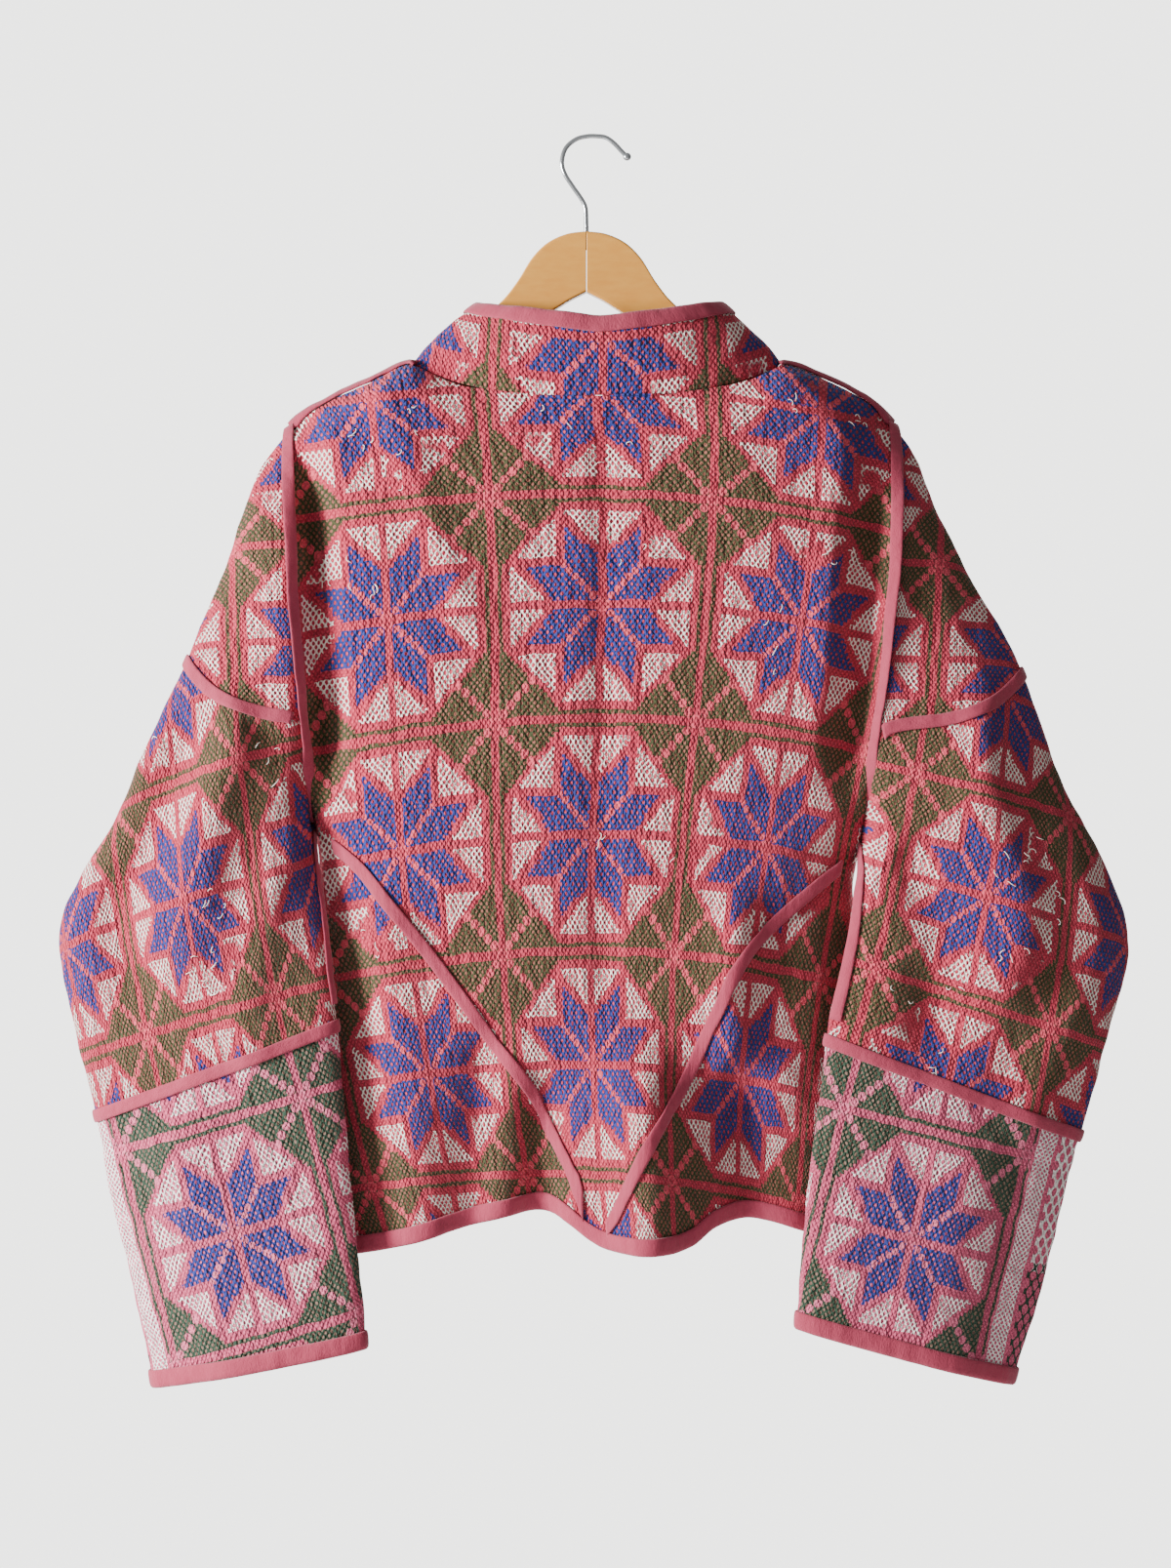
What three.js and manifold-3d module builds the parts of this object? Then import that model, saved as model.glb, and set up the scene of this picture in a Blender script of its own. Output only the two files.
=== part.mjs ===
// A kantha bomber jacket on a wooden hanger: a stand collar, a back cut by a V of two
// seams, dropped shoulders, two-piece sleeves, deep cuffs and bound seams and edges.
// Millimetres, +Z up. The back of the jacket faces -Y, the wearer's left is at -X.
// The origin is the inside top of the hook, where it hangs.
import * as THREE from 'three';
import Module from 'manifold-3d';

// Driving dimensions
const CLOTH = 2;               // wall of quilted cotton
const QUILT_RISE = 0.8;        // pillows of the quilting, in the outer face only
const QUILT_TILE = 150;        // one repeat of the stitched pattern
const SEAM_GAP = 0.3;          // between two pieces at a seam
const TAPE = 1.2;              // folded bias binding
const TAPE_LIFT = 0.65;        // an edge binding over the cloth that it wraps
const SEAM_TAPE_LIFT = 0.95;   // a flat binding over the seam that it covers
const SEAM_TAPE_WIDTH = 9;
const EDGE_TAPE_WIDTH = 11;
const TAPE_CLEAR = 1;          // between two bindings that meet
const EDGE_ROW = 12;           // the last row of a piece above a bound edge
const UNDERARM_GAP = 5;        // each piece stops this far from the point of the underarm
const FRONT_ARM_GAP = 0.9;     // the fronts stop this far from the sleeves
const ARM_STEPS = 12;          // samples from shoulder to underarm on each side of a sleeve
const SHOULDER_STEPS = 5;
const SIDE_POWER = 1.6;         // columns are closer together near the sides
const NECK_STEPS = 9;          // samples from centre back to shoulder on the neckline
const LOWER_STEPS = 8;         // samples from the V or underarm to the hem
const CROSS_STEP = 8;          // the armhole sample where the cross seam of a sleeve ends
const CUFF_SEAM = 8;           // row of the sleeve tables
const CUFF_END = 10;
const UNDERARM_ROUND = { from: -430, to: -492 }; // the side turns from open armhole to fold
const SHOULDER_ROUND = 20;     // height of the ridge that the cloth makes over the hanger
const NECK_ROUND = 60;
const TIP_ROW = 0.09;          // blunt end of the upper sleeve at the armhole
const UNDERARM_ROWS = [0.8, 0.6, 0.3]; // where the lower sleeve starts, from the underarm up
const APEX_BLUNT = 0.9;        // how close each piece beside the V comes to its lowest point
const ROWS = { upperSleeve: 5, lowerSleeve: 12, cuff: 4, collar: 4 };
const CUFF_EDGE_ROW = 0.13;    // the cuff's last row above its binding, in rows of the table
const FRONT_NECK_STEPS = 7;
const PATTERN = { backShift: 0.5, sleeveRows: 2.2, sleeveRound: 1.4, sleeveShift: 0.25 }; // in repeats
const ARMHOLE_TAPE_LIFT = 1.2;
const CROSS_TAPE_REACH = 0.2;  // of a sample's step, past the last full sample of a cross seam
// How much shorter a binding is than its seam
const TAPE_CUTS = { shoulderAtNeck: 6, shoulderAtArm: 8, armhole: 26, v: 14, sleeveAtUnderarm: 30 };

const NECK = { x: 2, halfWidth: 133, sideZ: -163, backZ: -189, frontZ: -214, backY: 44, frontY: 30 };
const COLLAR = {
  x: 4, halfWidth: 88, sideZ: -120, backZ: -133.5, frontZ: -165, backY: 40, frontY: 28, bulge: 4,
};
const FRONT_HALF_GAP = 3;      // from the centre front to each front's edge

// The shoulder line on each side, from the neck to the shoulder point
const SHOULDERS = [
  { x: -218, z: -208 }, { x: -209, z: -200.5 }, { x: -195, z: -192 }, { x: -169, z: -179 },
  { x: -131, z: -163 }, { x: 135, z: -163 }, { x: 166, z: -174 }, { x: 192, z: -187 },
  { x: 205, z: -197 }, { x: 213, z: -206 },
];

// The two diagonal seams of the back, from the underarms to the hem
const V_SEAM = [
  { x: -201, z: -496 }, { x: -169, z: -520 }, { x: -144, z: -550 }, { x: -116, z: -584 },
  { x: -75, z: -639 }, { x: -44, z: -681 }, { x: -27, z: -715 }, { x: -13, z: -746 },
  { x: 1, z: -785 }, { x: 35, z: -721 }, { x: 62, z: -674 }, { x: 86, z: -625 },
  { x: 97, z: -600 }, { x: 114, z: -574 }, { x: 152, z: -540 }, { x: 190, z: -510 },
];

// The hem of the back, which hangs in waves
const BACK_HEM = [
  { x: -204, z: -797 }, { x: -166, z: -793 }, { x: -130, z: -785 }, { x: -89, z: -773 },
  { x: -55, z: -765 }, { x: -34, z: -763 }, { x: -18, z: -771 }, { x: 1, z: -785 },
  { x: 21, z: -790 }, { x: 52, z: -790 }, { x: 69, z: -785 }, { x: 84, z: -774 },
  { x: 104, z: -768 }, { x: 125, z: -770 }, { x: 152, z: -778 }, { x: 198, z: -790 },
];
const FRONT_HEM = [
  { x: -204, z: -797 }, { x: -130, z: -777 }, { x: -55, z: -757 }, { x: -30, z: -758 },
  { x: 1, z: -772 }, { x: 52, z: -776 }, { x: 104, z: -759 }, { x: 152, z: -770 }, { x: 198, z: -790 },
];

// The body's side folds below the underarms
const LEFT_SIDE = [
  { z: -800, x: -204 }, { z: -700, x: -200 }, { z: -600, x: -196 }, { z: -520, x: -197 }, { z: -496, x: -201 },
];
const RIGHT_SIDE = [
  { z: -800, x: 198 }, { z: -700, x: 192 }, { z: -600, x: 187 }, { z: -535, x: 186 }, { z: -510, x: 190 },
];

// How far each sheet stands out from the hanger's plane at a height
const BACK_DEPTH = [
  { z: -800, y: 50 }, { z: -720, y: 54 }, { z: -620, y: 52 }, { z: -500, y: 48 }, { z: -300, y: 46 },
  { z: -190, y: 44 }, { z: -160, y: 36 },
];
const FRONT_DEPTH = [
  { z: -800, y: 28 }, { z: -500, y: 30 }, { z: -300, y: 31 }, { z: -215, y: 31 }, { z: -160, y: 30 },
];

// Folds of the back, each along a line: how far it stands out and its half width
const BACK_FOLDS = [
  { x0: -209, z0: -232, x1: -198, z1: -430, out: -7, half: 8 },
  { x0: -188, z0: -222, x1: -178, z1: -440, out: 5, half: 13 },
  { x0: -150, z0: -190, x1: -95, z1: -330, out: 3, half: 14 },
  { x0: 196, z0: -225, x1: 186, z1: -420, out: -4, half: 8 },
  { x0: 176, z0: -222, x1: 160, z1: -420, out: 3, half: 12 },
  { x0: 8, z0: -230, x1: 8, z1: -600, out: -2, half: 12 },
  { x0: 100, z0: -560, x1: 96, z1: -640, out: 6, half: 16 },
  { x0: -150, z0: -560, x1: -120, z1: -780, out: 4, half: 18 },
  { x0: -80, z0: -660, x1: -88, z1: -790, out: -5, half: 16 },
  { x0: -38, z0: -700, x1: -40, z1: -790, out: -9, half: 18 },
  { x0: 34, z0: -690, x1: 38, z1: -800, out: 13, half: 28 },
  { x0: 104, z0: -690, x1: 108, z1: -790, out: -7, half: 18 },
];
const FRONT_FOLDS = [
  { x0: -150, z0: -240, x1: -120, z1: -760, out: 4, half: 20 },
  { x0: -60, z0: -420, x1: -70, z1: -800, out: -4, half: 18 },
  { x0: 60, z0: -380, x1: 75, z1: -800, out: 4, half: 20 },
  { x0: 140, z0: -260, x1: 130, z1: -760, out: -4, half: 18 },
];

// Rings of each sleeve from the armhole (row 0) past the cuff seam (row 8) to the cuff's end
// (row 10): the outer and inner fold of the flattened tube, and its half depth
const LEFT_RINGS = [
  { ox: -218, oy: 0, oz: -208, ix: -201, iy: 0, iz: -496, depth: 26 },
  { ox: -242, oy: -6, oz: -244, ix: -200.5, iy: -6, iz: -498, depth: 27 },
  { ox: -260, oy: -10, oz: -300, ix: -200, iy: -12, iz: -501, depth: 28 },
  { ox: -283, oy: -13, oz: -356, ix: -199, iy: -18, iz: -506, depth: 28 },
  { ox: -313, oy: -14, oz: -422, ix: -198, iy: -24, iz: -515, depth: 27 },
  { ox: -346, oy: -14, oz: -495, ix: -195, iy: -31, iz: -530, depth: 26 },
  { ox: -381, oy: -16, oz: -565, ix: -191, iy: -38, iz: -557, depth: 25 },
  { ox: -371, oy: -18, oz: -631, ix: -187, iy: -45, iz: -592, depth: 23 },
  { ox: -354, oy: -20, oz: -699, ix: -181, iy: -50, iz: -633, depth: 21 },
  { ox: -336, oy: -24, oz: -787, ix: -171, iy: -57, iz: -742, depth: 20 },
  { ox: -313, oy: -28, oz: -889, ix: -160, iy: -61, iz: -857, depth: 20 },
];
const RIGHT_RINGS = [
  { ox: 213, oy: 0, oz: -206, ix: 190, iy: 0, iz: -510, depth: 26 },
  { ox: 231, oy: -6, oz: -234, ix: 189.5, iy: -6, iz: -512, depth: 27 },
  { ox: 249, oy: -10, oz: -276, ix: 189, iy: -12, iz: -514.5, depth: 28 },
  { ox: 274, oy: -13, oz: -325, ix: 188, iy: -18, iz: -519, depth: 28 },
  { ox: 305, oy: -14, oz: -384, ix: 186.5, iy: -24, iz: -527, depth: 27 },
  { ox: 331, oy: -14, oz: -454, ix: 183, iy: -31, iz: -544, depth: 26 },
  { ox: 378.5, oy: -16, oz: -557, ix: 179, iy: -38, iz: -568, depth: 25 },
  { ox: 369, oy: -18, oz: -627, ix: 172, iy: -45, iz: -602, depth: 23 },
  { ox: 345, oy: -20, oz: -713, ix: 163, iy: -50, iz: -643, depth: 21 },
  { ox: 323, oy: -24, oz: -800, ix: 150, iy: -57, iz: -745, depth: 20 },
  { ox: 297, oy: -28, oz: -887, ix: 142, iy: -61, iz: -843, depth: 20 },
];

// Folds of the sleeves, each along a line in ring rows and degrees round from the outer fold
const LEFT_SLEEVE_FOLDS = [
  { row0: 3.4, row1: 6.2, turn0: 82, turn1: 92, out: 6, half: 16 },
  { row0: 4.2, row1: 6.6, turn0: 50, turn1: 62, out: -5, half: 14 },
  { row0: 5.4, row1: 7.6, turn0: 130, turn1: 112, out: 4, half: 14 },
  { row0: 8.6, row1: 9.8, turn0: 70, turn1: 78, out: 2.5, half: 20 },
  { row0: 3.2, row1: 7, turn0: -100, turn1: -80, out: 5, half: 18 },
];
const RIGHT_SLEEVE_FOLDS = [
  { row0: 4.2, row1: 6.6, turn0: 66, turn1: 84, out: 6, half: 16 },
  { row0: 5, row1: 7.4, turn0: 118, turn1: 108, out: -5, half: 14 },
  { row0: 6, row1: 7.8, turn0: 40, turn1: 55, out: 4, half: 14 },
  { row0: 8.6, row1: 9.8, turn0: 80, turn1: 74, out: 2.5, half: 20 },
  { row0: 3.4, row1: 7, turn0: -96, turn1: -84, out: 5, half: 18 },
];

const SIDES = [
  {
    name: 'left', sign: -1, rings: LEFT_RINGS, folds: LEFT_SLEEVE_FOLDS, side: LEFT_SIDE,
    bow: 3, crossRow: 3.3, seamStep: 12,
  },
  {
    name: 'right', sign: 1, rings: RIGHT_RINGS, folds: RIGHT_SLEEVE_FOLDS, side: RIGHT_SIDE,
    bow: 8, crossRow: 4, seamStep: 11,
  },
];

// The hanger: the outline of one arm from the mitre joint to the tip, measured from the joint
const HANGER = { jointX: -5.6, thickness: 12, edge: 1.5, jointGap: 0.15, underCloth: 6.2, fall: 3 };
const ARM_TOP = [
  { out: 0, z: -68.5 }, { out: 14, z: -70.5 }, { out: 28, z: -77 }, { out: 39, z: -88 },
  { out: 49, z: -104 }, { out: 60, z: -118 }, { out: 96, z: -150 }, { out: 126, z: -174 },
];
const ARM_UNDER = [
  { out: 150, z: -205 }, { out: 110, z: -190 }, { out: 70, z: -166 }, { out: 36, z: -132 },
  { out: 15, z: -117 }, { out: 0, z: -109 },
];
const SHOULDER_SHARES = [0.3, 0.6, 0.85]; // places of the arm's top from the neck to its tip
const ARM_TIP = { fromShoulder: 16, height: 20, drop: 9, out: 2, in: 4 };
const HOOK = { wire: 1.7, ball: 3, steps: 56, sides: 8 };
const HOOK_PATH = [
  { x: -5.6, z: -80 }, { x: -5.8, z: -60 }, { x: -6.5, z: -49 }, { x: -9.5, z: -43 }, { x: -15.4, z: -34.5 },
  { x: -21.3, z: -25 }, { x: -23.2, z: -17 }, { x: -20.5, z: -7 }, { x: -13, z: -0.5 }, { x: -5, z: 1.6 },
  { x: 1.5, z: 1.7 }, { x: 8, z: 0.8 }, { x: 14, z: -3.2 }, { x: 19.5, z: -9 }, { x: 23.5, z: -13 },
];
const HOOK_SOCKET = { top: -66, depth: 16, gap: 0.3 };

const COLOURS = {
  back_centre: 0xb9626c, back_side: 0xa9605f, front: 0xa9605f, collar: 0xb65f68, sleeve: 0xab625f,
  cuff: 0xc07886, binding: 0xc9566f, hanger: 0xe2b574, hook: 0xc9ccd0,
};

// Small helpers
const mix = (a, b, t) => a + (b - a) * t;
const clamp = (v, low, high) => Math.min(high, Math.max(low, v));
const smoothstep = (v) => {
  const t = clamp(v, 0, 1);
  return t * t * (3 - 2 * t);
};
const radians = THREE.MathUtils.degToRad;

// A smooth value of one column at a place in another column that rises down the table
function valueAt(rows, key, place, column) {
  const last = rows.length - 1;
  const at = clamp(place, rows[0][key], rows[last][key]);
  let i = 0;
  while (i < last - 1 && rows[i + 1][key] < at) i += 1;
  const slope = (k) => {
    const a = rows[Math.max(0, k - 1)];
    const b = rows[Math.min(last, k + 1)];
    return (b[column] - a[column]) / (b[key] - a[key]);
  };
  const span = rows[i + 1][key] - rows[i][key];
  const t = (at - rows[i][key]) / span;
  const h = t * t * (3 - 2 * t);
  return mix(rows[i][column], rows[i + 1][column], h)
    + span * (t * (1 - t) * (1 - t) * slope(i) - t * t * (1 - t) * slope(i + 1));
}

// A smooth ring between the rows of a sleeve table
function ringAt(rings, row) {
  const numbered = rings.map((ring, index) => ({ index, ...ring }));
  const at = (column) => valueAt(numbered, 'index', row, column);
  return {
    outer: new THREE.Vector3(at('ox'), at('oy'), at('oz')),
    inner: new THREE.Vector3(at('ix'), at('iy'), at('iz')),
    depth: at('depth'),
  };
}

// How far the folds of a sheet stand out at a place
function foldOut(folds, x, z) {
  let out = 0;
  for (const fold of folds) {
    const dx = fold.x1 - fold.x0;
    const dz = fold.z1 - fold.z0;
    const length = Math.hypot(dx, dz);
    const along = ((x - fold.x0) * dx + (z - fold.z0) * dz) / (length * length);
    const beyond = Math.max(0, -along, along - 1) * length;
    const across = Math.abs((x - fold.x0) * dz - (z - fold.z0) * dx) / length;
    out += fold.out * Math.exp(-((across / fold.half) ** 2) - (beyond / (1.5 * fold.half)) ** 2);
  }
  return out;
}

// The pillows that the quilting raises between its lines, two each way in a repeat
const quilt = (u, v) => QUILT_RISE * Math.abs(Math.sin(2 * Math.PI * u) * Math.sin(2 * Math.PI * v));

// The body: sheets between two side lines, which are the armholes and then the side folds
function armholeTurn(side, z) {
  const { oz, iz } = side.rings[0];
  return clamp((z - (oz + iz) / 2) / ((oz - iz) / 2), -1, 1);
}
const armholeDepth = (side, z) => side.rings[0].depth * Math.sqrt(1 - armholeTurn(side, z) ** 2);
const armholeBow = (side, c) => side.sign * side.bow * (1 - c * c) * (1 + 0.5 * c);

function sideX(side, z) {
  const { ox, ix, iz } = side.rings[0];
  if (z < iz) return valueAt(side.side, 'z', z, 'x');
  const c = armholeTurn(side, z);
  return mix(ix, ox, (1 + c) / 2) + armholeBow(side, c);
}
const [LEFT, RIGHT] = SIDES;
const bodyX = (m, z) => mix(sideX(LEFT, z), sideX(RIGHT, z), m);
const SHOULDER_X = [LEFT.rings[0].ox, RIGHT.rings[0].ox];
const shareOf = (x) => (x - SHOULDER_X[0]) / (SHOULDER_X[1] - SHOULDER_X[0]);

// The neckline of one sheet: face is -1 for the back and 1 for the front
function neckline(face, x) {
  const s = Math.abs(x - NECK.x) / NECK.halfWidth;
  if (s >= 1) return null;
  const back = { y: NECK.backY, z: NECK.backZ + (NECK.sideZ - NECK.backZ) * s ** 3 };
  const front = { y: NECK.frontY, z: NECK.frontZ + (NECK.sideZ - NECK.frontZ) * s ** 2.2 };
  const { y, z } = face < 0 ? back : front;
  return { y: y * Math.sqrt(1 - s * s), z };
}
function topZ(face, m) {
  const x = mix(SHOULDER_X[0], SHOULDER_X[1], m);
  const neck = neckline(face, x);
  return neck ? neck.z : valueAt(SHOULDERS, 'x', x, 'z');
}

// The height at which a column of the body meets a line such as the V or the hem
function lineZ(m, table) {
  let z = -650;
  for (let pass = 0; pass < 8; pass += 1) z = valueAt(table, 'x', bodyX(m, z), 'z');
  return z;
}

function bodyPoint(face, m, z) {
  const x = bodyX(m, z);
  const xi = Math.abs(2 * m - 1);
  const fold = smoothstep((z - UNDERARM_ROUND.from) / (UNDERARM_ROUND.to - UNDERARM_ROUND.from));
  const swell = mix(1 - xi ** 6, Math.sqrt(1 - xi ** 4), fold);
  const topX = mix(SHOULDER_X[0], SHOULDER_X[1], m);
  const neck = neckline(face, topX);
  const round = neck
    ? mix(NECK_ROUND, SHOULDER_ROUND, (Math.abs(topX - NECK.x) / NECK.halfWidth) ** 2)
    : SHOULDER_ROUND;
  const under = clamp((topZ(face, m) - z) / round, 0, 1);
  const ridge = Math.sqrt(1 - (1 - under) ** 2);
  const table = face < 0 ? BACK_DEPTH : FRONT_DEPTH;
  const folds = face < 0 ? BACK_FOLDS : FRONT_FOLDS;
  const armhole = mix(armholeDepth(LEFT, z), armholeDepth(RIGHT, z), m);
  const sheet = (valueAt(table, 'z', z, 'y') + foldOut(folds, x, z)) * ridge * swell;
  const out = armhole * (1 - swell) + (neck ? neck.y * (1 - ridge) : 0) + sheet;
  return new THREE.Vector3(x, face * out, z);
}

// The columns of the body as shares of its width: one shoulder, the neckline, the other
function bodyColumns() {
  const shares = [];
  const neckLeft = shareOf(NECK.x - NECK.halfWidth);
  const neckRight = shareOf(NECK.x + NECK.halfWidth);
  for (let i = 0; i < SHOULDER_STEPS; i += 1) shares.push(neckLeft * (i / SHOULDER_STEPS) ** SIDE_POWER);
  for (let i = -NECK_STEPS; i <= NECK_STEPS; i += 1) {
    shares.push(shareOf(NECK.x + NECK.halfWidth * Math.sin((Math.PI / 2) * (i / NECK_STEPS))));
  }
  for (let i = SHOULDER_STEPS - 1; i >= 0; i -= 1) {
    shares.push(1 - (1 - neckRight) * (i / SHOULDER_STEPS) ** SIDE_POWER);
  }
  return shares;
}
const COLUMNS = bodyColumns();
const CENTRE = SHOULDER_STEPS + NECK_STEPS;
const ARM_SHARES = Array.from({ length: ARM_STEPS + 1 }, (_, j) => (1 - Math.cos((Math.PI * j) / ARM_STEPS)) / 2);

// The sleeves: flattened tubes through the rings; turn is 0 at the outer fold, and
// positive on the side of the jacket's back
function sleevePoint(side, row, turn) {
  const { outer, inner, depth } = ringAt(side.rings, row);
  const chord = outer.clone().sub(inner).multiplyScalar(0.5);
  const middle = outer.clone().add(inner).multiplyScalar(0.5);
  const along = chord.clone().normalize();
  const forward = new THREE.Vector3(0, -1, 0);
  forward.addScaledVector(along, -forward.dot(along)).normalize();
  const c = Math.cos(turn);
  const s = Math.sin(turn);
  let out = 0;
  for (const fold of side.folds) {
    const part = (row - fold.row0) / (fold.row1 - fold.row0);
    const beyond = Math.max(0, -part, part - 1) * (fold.row1 - fold.row0);
    const off = THREE.MathUtils.radToDeg(turn) - mix(fold.turn0, fold.turn1, clamp(part, 0, 1));
    out += fold.out * Math.exp(-((off / fold.half) ** 2) - (beyond / 0.5) ** 2);
  }
  const point = middle.addScaledVector(chord, c).addScaledVector(forward, s * (depth + out));
  point.x += armholeBow(side, c) * clamp(1 - row / 1.5, 0, 1);
  return point;
}
function crossRow(side, step) {
  const share = Math.abs(step) / CROSS_STEP;
  if (share > 1) return UNDERARM_ROWS[ARM_STEPS - Math.abs(step)] ?? 0;
  return Math.max(TIP_ROW, side.crossRow * (1 - share ** 4.6));
}
const turnOf = (step) => (Math.PI * step) / ARM_STEPS;

// A grid of points with normals; facing turns the normals to the outside
function makeGrid(rows, columns, closed, facing, pointAt, tileAt) {
  const grid = [];
  for (let r = 0; r <= rows; r += 1) {
    grid.push([]);
    for (let c = 0; c <= columns - (closed ? 1 : 0); c += 1) grid[r].push({ base: pointAt(r, c) });
  }
  const width = grid[0].length;
  const near = (c) => (closed ? (c + width) % width : clamp(c, 0, width - 1));
  for (let r = 0; r <= rows; r += 1) {
    for (let c = 0; c < width; c += 1) {
      const down = grid[Math.min(rows, r + 1)][c].base.clone().sub(grid[Math.max(0, r - 1)][c].base);
      const over = grid[r][near(c + 1)].base.clone().sub(grid[r][near(c - 1)].base);
      grid[r][c].normal = down.cross(over).multiplyScalar(facing).normalize();
      const inside = r > 0 && r < rows && (closed || (c > 0 && c < width - 1));
      const rise = inside && tileAt ? quilt(...tileAt(r, c)) : 0;
      grid[r][c].point = grid[r][c].base.clone().addScaledVector(grid[r][c].normal, rise);
    }
  }
  return { grid, rows, width, closed, facing };
}

// The samples of one edge of a grid, each with its neighbour inside
function edgeOf(panel, edge) {
  const { grid, rows, width } = panel;
  const last = width - 1;
  if (edge === 'top') return grid[0].map((own, c) => ({ own, next: grid[1][c] }));
  if (edge === 'bottom') return grid[rows].map((own, c) => ({ own, next: grid[rows - 1][c] }));
  if (edge === 'first') return grid.map((line) => ({ own: line[0], next: line[1] }));
  return grid.map((line) => ({ own: line[last], next: line[last - 1] }));
}

// Two pieces that are sewn together share the direction of their seam
function sew(one, other) {
  one.forEach((sample, i) => {
    const shared = sample.own.normal.clone().add(other[i].own.normal).normalize();
    sample.own.normal.copy(shared);
    other[i].own.normal.copy(shared);
  });
}

// An edge drawn back by half of the seam's gap, and more at samples that touch the underarm
function drawBack(samples, atUnderarm = () => false, usual = SEAM_GAP / 2) {
  samples.forEach(({ own, next }, i) => {
    const gap = atUnderarm(i) ? UNDERARM_GAP : usual;
    const step = next.base.clone().sub(own.base).setLength(gap);
    own.base.add(step);
    own.point.add(step);
  });
}

// A closed solid from sections in order along the piece: the first half of a section runs
// along one face of the piece and the second half comes back along the other
function sweepGeometry(sections, closed) {
  const positions = sections.flat().flatMap((p) => [p.x, p.y, p.z]);
  const size = sections[0].length;
  const index = [];
  const last = sections.length - 1;
  for (let s = 0; s < sections.length - (closed ? 0 : 1); s += 1) {
    const here = s * size;
    const there = (s === last ? 0 : s + 1) * size;
    for (let k = 0; k < size; k += 1) {
      const l = (k + 1) % size;
      index.push(here + k, there + k, there + l, here + k, there + l, here + l);
    }
  }
  if (!closed) {
    for (let k = 0; k < size / 2 - 1; k += 1) {
      const [a, b, c, d] = [k, k + 1, size - 2 - k, size - 1 - k];
      const end = last * size;
      index.push(a, b, c, a, c, d, end + a, end + c, end + b, end + a, end + d, end + c);
    }
  }
  const geometry = new THREE.BufferGeometry();
  geometry.setAttribute('position', new THREE.Float32BufferAttribute(positions, 3));
  geometry.setIndex(index);
  return outwards(geometry);
}

// The same geometry with its faces pointing out
function outwards(geometry) {
  const position = geometry.getAttribute('position');
  const index = geometry.getIndex().array;
  const corner = (k) => new THREE.Vector3().fromBufferAttribute(position, index[k]);
  let volume = 0;
  for (let k = 0; k < index.length; k += 3) volume += corner(k).dot(corner(k + 1).cross(corner(k + 2)));
  if (volume < 0) {
    for (let k = 0; k < index.length; k += 3) [index[k + 1], index[k + 2]] = [index[k + 2], index[k + 1]];
  }
  geometry.computeVertexNormals();
  return geometry;
}

// The wall of one piece of cloth: its outer grid, and a plain inner grid behind it
function wallGeometry(panel) {
  const { grid, rows, width, closed } = panel;
  const positions = [];
  for (const line of grid) for (const v of line) positions.push(...v.point.toArray());
  for (const line of grid) {
    for (const v of line) positions.push(...v.base.clone().addScaledVector(v.normal, -CLOTH).toArray());
  }
  const behind = (rows + 1) * width;
  const at = (r, c) => r * width + (c % width);
  const index = [];
  const quad = (a, b, c, d) => index.push(a, b, c, a, c, d);
  const across = closed ? width : width - 1;
  for (let r = 0; r < rows; r += 1) {
    for (let c = 0; c < across; c += 1) {
      quad(at(r, c), at(r + 1, c), at(r + 1, c + 1), at(r, c + 1));
      quad(behind + at(r, c), behind + at(r, c + 1), behind + at(r + 1, c + 1), behind + at(r + 1, c));
    }
    if (!closed) {
      quad(at(r, 0), behind + at(r, 0), behind + at(r + 1, 0), at(r + 1, 0));
      quad(at(r, across), at(r + 1, across), behind + at(r + 1, across), behind + at(r, across));
    }
  }
  for (let c = 0; c < across; c += 1) {
    quad(at(0, c), at(0, c + 1), behind + at(0, c + 1), behind + at(0, c));
    quad(at(rows, c), behind + at(rows, c), behind + at(rows, c + 1), at(rows, c + 1));
  }
  const geometry = new THREE.BufferGeometry();
  geometry.setAttribute('position', new THREE.Float32BufferAttribute(positions, 3));
  geometry.setIndex(index);
  return outwards(geometry);
}

// A sample moved towards its neighbour by a distance along the cloth
function toward(from, to, distance) {
  const share = distance / from.point.distanceTo(to.point);
  return {
    point: from.point.clone().lerp(to.point, share),
    base: from.base.clone().lerp(to.base, share),
    normal: from.normal.clone().lerp(to.normal, clamp(share, 0, 1)).normalize(),
  };
}

// A run of samples, each a list of places across a binding, cut shorter at its two ends
function trimmed(run, startCut, endCut) {
  const cut = (list, amount) => {
    let left = amount;
    let k = 0;
    const middle = (sample) => sample[Math.floor(sample.length / 2)];
    while (k < list.length - 2 && middle(list[k]).point.distanceTo(middle(list[k + 1]).point) <= left) {
      left -= middle(list[k]).point.distanceTo(middle(list[k + 1]).point);
      k += 1;
    }
    const share = left / middle(list[k]).point.distanceTo(middle(list[k + 1]).point);
    const first = list[k].map((place, i) => ({
      point: place.point.clone().lerp(list[k + 1][i].point, share),
      base: place.base.clone().lerp(list[k + 1][i].base, share),
      normal: place.normal.clone().lerp(list[k + 1][i].normal, share).normalize(),
    }));
    return [first, ...list.slice(k + 1)];
  };
  return cut(cut(run, startCut).reverse(), endCut).reverse();
}

// A folded binding that lies over a seam
function seamTape(run, closed = false, lift = SEAM_TAPE_LIFT) {
  const sections = run.map((places) => {
    const under = places.map((v) => v.point.clone().addScaledVector(v.normal, lift));
    const over = places.map((v) => v.point.clone().addScaledVector(v.normal, lift + TAPE));
    return [...under, ...over.reverse()];
  });
  return sweepGeometry(sections, closed);
}

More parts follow.
